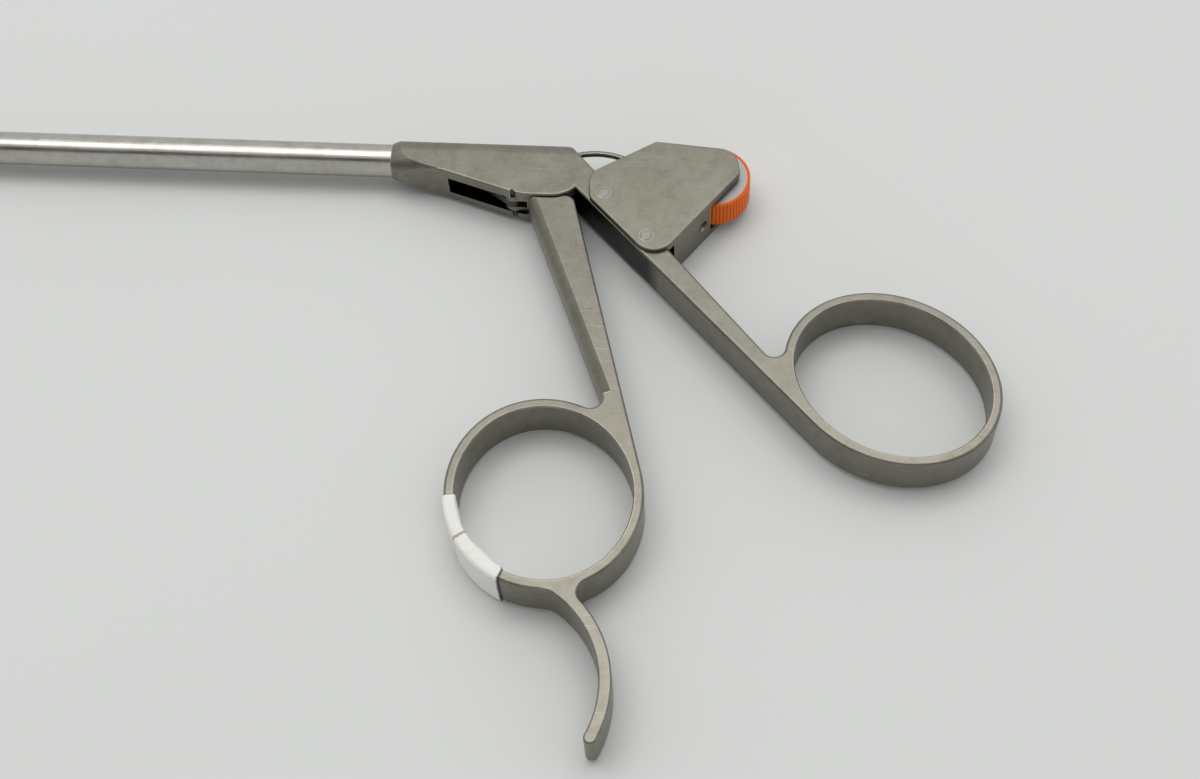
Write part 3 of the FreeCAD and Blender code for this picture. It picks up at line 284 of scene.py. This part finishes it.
def metal_finish(name, tone, bright, rough=0.34, pitch=4000.0, stretch=(1, 1, 1), scuffs=0.5,
                 glint_wear=0.8, shade_grime=0.5, depth=1.2, relief=0.3, flush_at=None, flush_radius=0.0):
    """Ground steel with painted highlights along its edges, partly real polish, and painted shade with a
    little grime in its corners, and one spot with no edge highlight.
    """
    sizes = bpy.context.scene.punch_sizes
    finish, board, shader = new_finish(name)
    grain = board.put("Group", node_tree=satin_grain())
    for socket, value in (("Tone", rgba(tone)), ("Bright", rgba(bright)), ("Stretch", stretch),
                          ("Pitch", pitch), ("Rough", rough), ("Scuffs", scuffs)):
        grain.inputs[socket].default_value = value
    edge = board.put("Group", {"Reach": sizes.glint_reach, "Amount": glint_wear}, node_tree=edge_rub())
    glint_worn_edges = edge.outputs["Mask"]
    if flush_at is not None:
        place = board.put("TexCoord").outputs["Object"]
        flat = board.put("VectorMath", {0: place, 1: (1.0, 1.0, 0.0)}, operation="MULTIPLY").outputs[0]
        away = board.put("VectorMath", {0: flat, 1: (flush_at * MM)[:]}, operation="DISTANCE").outputs["Value"]
        kept = board.span(away, (flush_radius + 0.3) * MM, (flush_radius + 0.6) * MM)
        glint_worn_edges = board.sum(glint_worn_edges, kept, "MULTIPLY")
    hollow_shade_grime = board.put("Group", {"Depth": depth * MM, "Amount": shade_grime}, node_tree=hollow_dirt())
    # Painted highlight along the outer edges, partly real polish where hands rub.
    shade = board.blend(glint_worn_edges, grain.outputs["Color"], rgba(bright))
    # Painted shade, with a little grime, in corners and slots.
    shade = board.blend(hollow_shade_grime.outputs["Mask"], shade, (0.035, 0.03, 0.024, 1.0))
    polish = board.sum(glint_worn_edges, 0.12, "MULTIPLY")
    sheen = board.sum(grain.outputs["Roughness"], polish, "SUBTRACT")
    sheen = board.sum(sheen, board.sum(hollow_shade_grime.outputs["Mask"], 0.3, "MULTIPLY"))
    board.tree.links.new(shade, shader.inputs["Base Color"])
    board.tree.links.new(sheen, shader.inputs["Roughness"])
    shader.inputs["Metallic"].default_value = 1.0
    bump(board, shader, grain.outputs["Height"], relief, 0.012 * MM)
    return finish


def dress(finish, *names):
    """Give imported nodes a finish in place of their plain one."""
    for name in names:
        mesh = NODES[name].data
        mesh.materials.clear()
        mesh.materials.append(finish)


# Forgings

class PUNCH_OT_forgings(bpy.types.Operator):
    """Finish the frame and the front handle as satin forged steel with painted edge highlights that are partly
    real rubbed polish, and paint shadow on the frame's arm wall and in its fork slot
    """

    bl_idname = "punch.forgings"
    bl_label = "Forgings"

    # Handle pivot, whose pin is ground flush, in millimetres.
    PIVOT = Vector((24.6, -2.9, 0.0))
    PIVOT_RADIUS = 1.5
    # Painted shadow bars, in millimetres, on the arm's wall between the housing cheeks and inside the fork
    # slot: start, end, reach to each side, half width, soft ends.
    ARM_WALL_SHADOW = (Vector((25.8, -3.3, 0.0)), Vector((40.7, -19.3, 0.0)), 0.4, 2.8, 1.5)
    FORK_SLOT_SHADOW = (Vector((9.0, -3.0, 0.0)), Vector((21.0, -3.0, 0.0)), 5.0, 1.7, 0.3)

    def execute(self, context):
        looks = context.scene.punch_finishes
        forged = metal_finish("forged_steel", looks.forging, looks.forging_bright, rough=0.36, pitch=5200.0,
                              stretch=(0.45, 1.0, 1.0), scuffs=0.35, glint_wear=0.55, shade_grime=0.8, depth=2.4,
                              flush_at=self.PIVOT, flush_radius=self.PIVOT_RADIUS)
        self.paint_shadow(forged, *self.ARM_WALL_SHADOW)
        self.paint_shadow(forged, *self.FORK_SLOT_SHADOW)
        dress(forged, "frame")
        dress(metal_finish("handle_steel", looks.forging, looks.forging_bright, rough=0.37, pitch=5200.0,
                           stretch=(1.0, 0.4, 1.0), scuffs=0.4, shade_grime=0.6, depth=1.8), "front_handle")
        # The link lies in the shaded fork slot, so its steel is painted darker as shade.
        shaded_forging = [c * 0.45 for c in looks.forging]
        dress(metal_finish("shaded_link_steel", shaded_forging, looks.forging, rough=0.3, pitch=7000.0,
                           scuffs=0.3, shade_grime=0.95, depth=3.0), "rod_link")
        return {"FINISHED"}

    def paint_shadow(self, finish, start, end, reach, half, soft):
        """Paint shadow into the finish inside a straight bar across the forging."""
        board = Board(finish.node_tree)
        shader = finish.node_tree.nodes["Principled BSDF"]
        shade = shader.inputs["Base Color"].links[0].from_socket
        run = end - start
        along = run.normalized()
        place = board.put("TexCoord").outputs["Object"]
        away = board.put("VectorMath", {0: place, 1: (start * MM)[:]}, operation="SUBTRACT").outputs[0]
        across = (-along.y, along.x, 0.0)
        aside = board.put("VectorMath", {0: away, 1: across}, operation="DOT_PRODUCT").outputs["Value"]
        gone = board.put("VectorMath", {0: away, 1: along[:]}, operation="DOT_PRODUCT").outputs["Value"]
        lift = board.sum(board.put("SeparateXYZ", {0: place}).outputs["Z"], 0.0, "ABSOLUTE")
        mask = board.span(board.sum(aside, 0.0, "ABSOLUTE"), (reach - 0.1) * MM, (reach + 0.1) * MM, 1.0, 0.0)
        for share in (board.span(gone, -soft * MM, soft * MM),
                      board.span(gone, (run.length - soft) * MM, (run.length + soft) * MM, 1.0, 0.0),
                      board.span(lift, (half - 0.02) * MM, half * MM, 1.0, 0.0)):
            mask = board.sum(mask, share, "MULTIPLY")
        # Nearly black painted shadow inside the bar.
        shade = board.blend(mask, shade, (0.006, 0.0055, 0.005, 1.0))
        board.tree.links.new(shade, shader.inputs["Base Color"])


# Shaft and thread path

class PUNCH_OT_tubes(bpy.types.Operator):
    """Finish the shaft, the rod and the thread tube as drawn and polished steel"""

    bl_idname = "punch.tubes"
    bl_label = "Shaft and thread tube"

    def execute(self, context):
        looks = context.scene.punch_finishes
        bright = (0.7, 0.69, 0.66)
        dress(metal_finish("drawn_tube", looks.tube, bright, rough=0.24, pitch=7000.0,
                           stretch=(0.02, 1.0, 1.0), scuffs=0.4, glint_wear=0.5, shade_grime=0.35, relief=0.25),
              "shaft_tube", "actuating_rod")
        dress(metal_finish("thread_tube", looks.forging, looks.tube, rough=0.26, pitch=9000.0,
                           scuffs=0.15, glint_wear=0.0, shade_grime=0.3, relief=0.08), "suture_guide_tube")
        return {"FINISHED"}


# Jaws

class PUNCH_OT_jaws(bpy.types.Operator):
    """Finish both jaws as milled steel and the needle as polished tube"""

    bl_idname = "punch.jaws"
    bl_label = "Jaws and needle"

    def execute(self, context):
        looks = context.scene.punch_finishes
        dress(metal_finish("jaw_steel", looks.tube, (0.84, 0.83, 0.8), rough=0.3, pitch=9000.0,
                           stretch=(0.3, 1.0, 1.0), scuffs=0.35, glint_wear=0.9, shade_grime=0.55),
              "lower_jaw", "upper_jaw")
        dress(metal_finish("needle_steel", looks.pin, (0.88, 0.87, 0.85), rough=0.17, pitch=9000.0,
                           scuffs=0.2, glint_wear=0.6, shade_grime=0.2), "suture_needle")
        return {"FINISHED"}


# Pins

class PUNCH_OT_pins(bpy.types.Operator):
    """Finish every pin and axle as polished steel"""

    bl_idname = "punch.pins"
    bl_label = "Pins and axles"

    def execute(self, context):
        looks = context.scene.punch_finishes
        bright = (0.48, 0.47, 0.44)
        dress(metal_finish("polished_pin", looks.pin, bright, rough=0.26, pitch=6000.0, scuffs=0.2,
                           glint_wear=0.0, shade_grime=0.0, relief=0.1), "housing_pins", "wheel_axle", "roller_axle")
        dress(metal_finish("ground_pin", looks.forging, bright, rough=0.3, pitch=6000.0, scuffs=0.4,
                           glint_wear=0.5, shade_grime=0.2), "tang_link_pin", "rod_pin", "jaw_pivot_pin", "jaw_drive_pin")
        dress(metal_finish("flush_pin", looks.forging, looks.forging_bright, rough=0.36, pitch=5200.0,
                           scuffs=0.3, glint_wear=0.0, shade_grime=0.0), "handle_pivot_pin")
        return {"FINISHED"}


# Wheel housing

class PUNCH_OT_housing(bpy.types.Operator):
    """Finish the wheel housing as fine blasted plate"""

    bl_idname = "punch.housing"
    bl_label = "Wheel housing"

    def execute(self, context):
        looks = context.scene.punch_finishes
        dress(metal_finish("blasted_plate", looks.plate, looks.forging_bright, rough=0.4, pitch=7500.0,
                           scuffs=0.25, glint_wear=0.75, shade_grime=0.6), "roller_housing")
        return {"FINISHED"}


# Feed wheel and roller

class PUNCH_OT_feed_wheel(bpy.types.Operator):
    """Finish the turned disc, the orange ribbed tyre and the plastic pieces"""

    bl_idname = "punch.feed_wheel"
    bl_label = "Feed wheel"

    def execute(self, context):
        looks = context.scene.punch_finishes
        dress(self.disc_finish(looks.hub), "drive_wheel_hub")
        dress(self.tyre_finish(looks.tyre), "drive_wheel_tyre")
        dress(self.plastic_finish(looks.plastic), "pinch_roller", "rod_spacers")
        return {"FINISHED"}

    def from_axle(self, board):
        """Distance from the wheel's axle, in metres."""
        place = board.put("TexCoord").outputs["Object"]
        away = board.put("VectorMath", {0: place, 1: WHEEL_CENTRE[:]}, operation="SUBTRACT").outputs[0]
        flat = board.put("VectorMath", {0: away, 1: (1.0, 1.0, 0.0)}, operation="MULTIPLY").outputs[0]
        return place, board.put("VectorMath", {0: flat}, operation="LENGTH").outputs["Value"]

    def disc_finish(self, tone):
        finish, board, shader = new_finish("turned_disc")
        place, reach = self.from_axle(board)
        ring = board.put("CombineXYZ", {"X": board.sum(reach, 9000.0, "MULTIPLY")}).outputs[0]
        turned = board.put("TexNoise", {"Vector": ring, "Scale": 1.0, "Detail": 2.0}).outputs["Fac"]
        cloud = board.speckle(place, 700.0, 4.0, 0.6)
        shade = board.blend(board.span(turned, 0.3, 0.7, 0.0, 0.35), rgba(tone), (0.46, 0.46, 0.46, 1.0))
        shade = board.blend(board.span(cloud, 0.55, 0.75, 0.0, 0.35), shade, (0.24, 0.238, 0.23, 1.0))
        rough = board.sum(board.span(turned, 0.3, 0.7, 0.34, 0.44), board.span(cloud, 0.3, 0.7, -0.03, 0.08))
        board.tree.links.new(shade, shader.inputs["Base Color"])
        board.tree.links.new(rough, shader.inputs["Roughness"])
        shader.inputs["Metallic"].default_value = 0.85
        bump(board, shader, turned, 0.35, 0.01 * MM)
        return finish

    def tyre_finish(self, tone):
        finish, board, shader = new_finish("orange_tyre")
        place, reach = self.from_axle(board)
        valley = board.span(reach, 5.34 * MM, 5.44 * MM, 1.0, 0.0)
        flow = board.speckle(place, 1300.0, 4.0, 0.6)
        deep = (tone[0] * 0.66, tone[1] * 0.55, tone[2] * 0.5, 1.0)
        pale = (min(1.0, tone[0] * 1.05), tone[1] * 1.3, tone[2] * 3.0, 1.0)
        shade = board.blend(board.span(flow, 0.35, 0.7, 0.0, 0.5), rgba(tone), pale)
        shade = board.blend(board.sum(valley, 0.55, "MULTIPLY"), shade, deep)
        rough = board.sum(board.span(flow, 0.3, 0.7, 0.40, 0.52), board.sum(valley, 0.15, "MULTIPLY"))
        board.tree.links.new(shade, shader.inputs["Base Color"])
        board.tree.links.new(rough, shader.inputs["Roughness"])
        shader.inputs["Specular IOR Level"].default_value = 0.25
        bump(board, shader, board.speckle(place, 9000.0, 3.0), 0.2, 0.01 * MM)
        return finish

    def plastic_finish(self, tone):
        finish, board, shader = new_finish("turned_plastic")
        place = board.put("TexCoord").outputs["Object"]
        flow = board.speckle(place, 1100.0, 4.0, 0.6)
        shade = board.blend(board.span(flow, 0.3, 0.7), rgba([c * 0.85 for c in tone]), rgba(tone))
        board.tree.links.new(shade, shader.inputs["Base Color"])
        board.tree.links.new(board.span(flow, 0.3, 0.7, 0.4, 0.55), shader.inputs["Roughness"])
        bump(board, shader, board.speckle(place, 7000.0, 3.0), 0.2, 0.01 * MM)
        return finish


# Ring tape

class RingOval:
    """Oval of the front ring in the plane of the instrument, in millimetres."""

    centre = Vector((28.2, -56.5))
    long = 12.9
    short = 11.85
    turn = math.radians(107.6)

    def at(self, direction, grown):
        """Spot that lies in a direction from the centre, on the oval grown outwards."""
        local = math.radians(direction) - self.turn
        share = math.atan2(math.sin(local) / (self.short + grown), math.cos(local) / (self.long + grown))
        x = (self.long + grown) * math.cos(share)
        y = (self.short + grown) * math.sin(share)
        spin = Matrix.Rotation(self.turn, 2)
        return self.centre + spin @ Vector((x, y))


class PUNCH_OT_ring_tape(bpy.types.Operator):
    """Wrap the two bands of white tape round the front ring, with creases and wandering ends"""

    bl_idname = "punch.ring_tape"
    bl_label = "Ring tape"

    # Ring's wall and half its width, the tape's own lift off the ring and its round corners, in millimetres.
    WALL = 1.4
    HALF = 3.25
    CLEAR = 0.03
    OUTER_CORNER = 0.55
    INNER_CORNER = 0.3
    # Node, first and last direction from the ring's centre in degrees, thickness, and phase of its creases.
    BANDS = (("ring_tape_upper", 186.0, 214.4, 0.20, 0.3), ("ring_tape_lower", 214.6, 250.0, 0.28, 2.1))
    # Direction, half width and colour of the glue in the seam and of the painted shadow at the cut end.
    SEAM_GLUE_AND_END_SHADOW = ((214.5, 0.3, (0.34, 0.24, 0.13, 1.0)), (250.0, 0.22, (0.07, 0.065, 0.06, 1.0)))

    def execute(self, context):
        finish = self.tape_finish(context.scene.punch_finishes.tape)
        for name, first, last, thick, phase in self.BANDS:
            band = self.wrap(name + "_wrap", first, last, thick, phase)
            band.data.materials.append(finish)
            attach(band, "handle_body")
            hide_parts(name)
        return {"FINISHED"}

    def section(self, thick):
        """Rounded box round the ring's own section: steps outwards from its middle, and along Z."""
        outer = self.WALL / 2 + thick
        top = self.HALF + thick
        points = []
        for side, lift, start in ((1, 1, 0), (-1, 1, 90), (-1, -1, 180), (1, -1, 270)):
            corner = self.OUTER_CORNER if side > 0 else self.INNER_CORNER
            middle = Vector((side * (outer - corner), lift * (top - corner)))
            for step in range(6):
                turn = math.radians(start + step * 18)
                points.append(middle + Vector((math.cos(turn), math.sin(turn))) * corner)
            if side != lift:
                here = points[-1]
                end = Vector((side * outer, -lift * (top - corner)))
                points += [here.lerp(end, i / 9) for i in range(1, 9)]
        return points

    def wrap(self, name, first, last, thick, phase):
        sizes = bpy.context.scene.punch_sizes
        crease = sizes.tape_crease / MM
        ring = RingOval()
        outside = self.section(thick)
        inside = self.section(self.CLEAR)
        steps = max(24, int((last - first) * 1.6))
        mesh = bmesh.new()
        loops = []
        for i in range(steps + 1):
            share = i / steps
            row = []
            for j, (out, lift) in enumerate(outside):
                around = j / len(outside)
                sway = math.degrees(sizes.tape_sway) * (
                    math.sin(9.0 * around + phase) + 0.5 * math.sin(23.0 * around + 2 * phase))
                near_end = max(0.0, 1 - min(share, 1 - share) * 7)
                direction = first + (last - first) * share + (0 if 0.01 < share < 0.99 else sway) * 0.6
                fold = (math.sin(31 * share + 5 * math.sin(6.3 * around + phase))
                        * math.sin(14 * around + 3 * share + phase))
                lift_off = crease * (0.5 + 0.5 * fold) * (1 - 0.4 * near_end)
                away = Vector((out, lift)).normalized() * lift_off
                spot = ring.at(direction, self.WALL / 2 + out + away.x)
                row.append(mesh.verts.new((spot.x * MM, spot.y * MM, (lift + away.y) * MM)))
            loops.append(row)
        for direction in (last, first):
            row = []
            for out, lift in inside:
                spot = ring.at(direction, self.WALL / 2 + out)
                row.append(mesh.verts.new((spot.x * MM, spot.y * MM, lift * MM)))
            loops.append(row)
        loops.append(loops[0])
        for here, there in zip(loops, loops[1:]):
            for j in range(len(here)):
                k = (j + 1) % len(here)
                mesh.faces.new((here[j], here[k], there[k], there[j]))
        bmesh.ops.recalc_face_normals(mesh, faces=mesh.faces)
        data = bpy.data.meshes.new(name)
        mesh.to_mesh(data)
        mesh.free()
        for face in data.polygons:
            face.use_smooth = True
        data.set_sharp_from_angle(angle=math.radians(50))
        band = bpy.data.objects.new(name, data)
        bpy.context.scene.collection.objects.link(band)
        return band

    def beside(self, board, place, direction, reach):
        """Mask of a narrow strip across the ring, in a direction from its centre."""
        turn = math.radians(direction)
        across = (-math.sin(turn), math.cos(turn), 0.0)
        middle = (RingOval.centre.x * MM, RingOval.centre.y * MM, 0.0)
        away = board.put("VectorMath", {0: place, 1: middle}, operation="SUBTRACT").outputs[0]
        gone = board.put("VectorMath", {0: away, 1: across}, operation="DOT_PRODUCT").outputs["Value"]
        ragged = board.span(board.speckle(place, 2600.0, 3.0), 0.3, 0.7, -0.12 * MM, 0.12 * MM)
        gone = board.sum(gone, ragged)
        return board.span(board.sum(gone, 0.0, "ABSOLUTE"), 0.4 * reach * MM, reach * MM, 0.85, 0.0)

    def tape_finish(self, tone):
        finish, board, shader = new_finish("cloth_tape")
        place = board.put("TexCoord").outputs["Object"]
        weave = board.speckle(place, 6500.0, 3.0, 0.6)
        stain = board.speckle(place, 420.0, 5.0, 0.65)
        hollow_shade_grime = board.put("Group", {"Depth": 0.9 * MM, "Amount": 0.3}, node_tree=hollow_dirt())
        shade = board.blend(board.span(weave, 0.3, 0.7, 0.0, 1.0), rgba([c * 0.93 for c in tone]), rgba(tone))
        shade = board.blend(board.span(stain, 0.55, 0.8, 0.0, 0.4), shade, (0.66, 0.61, 0.5, 1.0))
        # Painted shade, with a little brown grime, in the tape's creases and corners.
        shade = board.blend(hollow_shade_grime.outputs["Mask"], shade, (0.3, 0.25, 0.17, 1.0))
        for direction, reach, tint in self.SEAM_GLUE_AND_END_SHADOW:
            # Glue in the seam, and a painted shadow at the cut end.
            shade = board.blend(self.beside(board, place, direction, reach), shade, tint)
        board.tree.links.new(shade, shader.inputs["Base Color"])
        board.tree.links.new(board.span(weave, 0.3, 0.7, 0.5, 0.68), shader.inputs["Roughness"])
        bump(board, shader, weave, 0.4, 0.015 * MM)
        return finish


# Stage

class PUNCH_OT_stage(bpy.types.Operator):
    """Lay the pale table, hang the long soft lamp and set the camera as in the photograph"""

    bl_idname = "punch.stage"
    bl_label = "Table, light and camera"

    CAMERA_AT = (0.05189, -0.161054, 0.20547)
    LOOKS_ALONG = (-0.07299, 0.51025, -0.85692)
    CAMERA_UP = (-0.04316, 0.85679, 0.51385)
    LENS = 51.86
    ROOM_LIGHT = (0.0, 0.574, 0.819)
    LAMP_SIZE = (1.1, 0.5)
    LAMP_AT = (-0.05, 0.2)
    LAMP_AIM = Vector((0.03, -0.03, 0.0))

    def execute(self, context):
        self.table(context.scene.punch_finishes.table)
        self.world(context.scene)
        self.lamp(context.scene.punch_sizes)
        self.camera(context.scene)
        context.scene.view_settings.view_transform = "Standard"
        return {"FINISHED"}

    def table(self, tone):
        mesh = bmesh.new()
        bmesh.ops.create_grid(mesh, x_segments=8, y_segments=8, size=3.0)
        data = bpy.data.meshes.new("table")
        mesh.to_mesh(data)
        mesh.free()
        table = bpy.data.objects.new("table", data)
        table.location.z = TABLE_LEVEL - 0.01 * MM
        bpy.context.scene.collection.objects.link(table)
        finish, board, shader = new_finish("table_top")
        place = board.put("TexCoord").outputs["Object"]
        cloud = board.speckle(place, 9.0, 3.0, 0.5)
        shade = board.blend(board.span(cloud, 0.35, 0.65), rgba([c * 0.985 for c in tone]), rgba(tone))
        board.tree.links.new(shade, shader.inputs["Base Color"])
        shader.inputs["Roughness"].default_value = 0.75
        shader.inputs["Specular IOR Level"].default_value = 0.2
        data.materials.append(finish)

    def world(self, scene):
        """Grey room, lighter overhead and with one dark band; the camera sees it as pale as the table."""
        world = bpy.data.worlds.new("grey_room")
        world.use_nodes = True
        board = Board(world.node_tree)
        world.node_tree.nodes.clear()
        way = board.put("TexCoord").outputs["Generated"]
        facing = board.put("VectorMath", {0: way, 1: self.ROOM_LIGHT}, operation="DOT_PRODUCT")
        facing = facing.outputs["Value"]
        overhead = board.sum(board.span(facing, 0.0, 1.0), 1.8, "POWER")
        room = board.blend(overhead, (0.66, 0.66, 0.66, 1.0), (0.86, 0.86, 0.86, 1.0))
        behind = board.put("SeparateXYZ", {0: way}).outputs["Y"]
        band = board.sum(board.span(behind, -0.36, -0.46), board.span(behind, -0.78, -0.66), "MULTIPLY")
        room = board.blend(band, room, (0.11, 0.11, 0.108, 1.0))
        seen = board.put("LightPath").outputs["Is Camera Ray"]
        colour = board.blend(seen, room, (0.695, 0.708, 0.695, 1.0))
        glow = board.put("Background", {"Color": colour, "Strength": 1.0})
        output = board.put("OutputWorld")
        world.node_tree.links.new(glow.outputs[0], output.inputs["Surface"])
        scene.world = world

    def lamp(self, sizes):
        data = bpy.data.lights.new("long_lamp", "AREA")
        data.shape = "RECTANGLE"
        data.size = self.LAMP_SIZE[0]
        data.size_y = self.LAMP_SIZE[1]
        data.energy = sizes.lamp_power
        lamp = bpy.data.objects.new("long_lamp", data)
        lamp.location = (*self.LAMP_AT, sizes.lamp_height)
        aim = self.LAMP_AIM - lamp.location
        lamp.rotation_euler = aim.to_track_quat("-Z", "Y").to_euler()
        bpy.context.scene.collection.objects.link(lamp)

    def camera(self, scene):
        data = bpy.data.cameras.new("camera")
        data.lens = self.LENS
        data.sensor_width = 36.0
        data.shift_x = -0.0008
        data.shift_y = 0.0002
        data.clip_start = 0.01
        data.clip_end = 20.0
        camera = bpy.data.objects.new("camera", data)
        ahead = Vector(self.LOOKS_ALONG).normalized()
        up = Vector(self.CAMERA_UP).normalized()
        right = ahead.cross(up).normalized()
        up = right.cross(ahead)
        axes = Matrix((right, up, -ahead)).transposed().to_4x4()
        camera.matrix_world = Matrix.Translation(self.CAMERA_AT) @ axes
        scene.collection.objects.link(camera)
        scene.camera = camera


class PUNCH_PT_sidebar(bpy.types.Panel):
    """Steps that dress the punch, in order"""

    bl_idname = "PUNCH_PT_sidebar"
    bl_label = "Suture punch"
    bl_space_type = "VIEW_3D"
    bl_region_type = "UI"
    bl_category = "Punch"

    def draw(self, context):
        for step in STEPS:
            self.layout.operator(step.bl_idname)
        for owner in (context.scene.punch_finishes, context.scene.punch_sizes):
            box = self.layout.box()
            for name in owner.bl_rna.properties.keys():
                if name not in ("rna_type", "name"):
                    box.prop(owner, name)


STEPS = (PUNCH_OT_forgings, PUNCH_OT_tubes, PUNCH_OT_jaws, PUNCH_OT_pins, PUNCH_OT_housing,
         PUNCH_OT_feed_wheel, PUNCH_OT_ring_tape, PUNCH_OT_stage)
CLASSES = (PunchFinishes, PunchSizes) + STEPS + (PUNCH_PT_sidebar,)


def register():
    for each in CLASSES:
        bpy.utils.register_class(each)
    bpy.types.Scene.punch_finishes = bpy.props.PointerProperty(type=PunchFinishes)
    bpy.types.Scene.punch_sizes = bpy.props.PointerProperty(type=PunchSizes)


def unregister():
    del bpy.types.Scene.punch_sizes
    del bpy.types.Scene.punch_finishes
    for each in reversed(CLASSES):
        bpy.utils.unregister_class(each)


def main():
    register()
    for step in STEPS:
        group, name = step.bl_idname.split(".")
        getattr(getattr(bpy.ops, group), name)()
    bpy.context.view_layer.update()


if __name__ == "__main__":
    main()
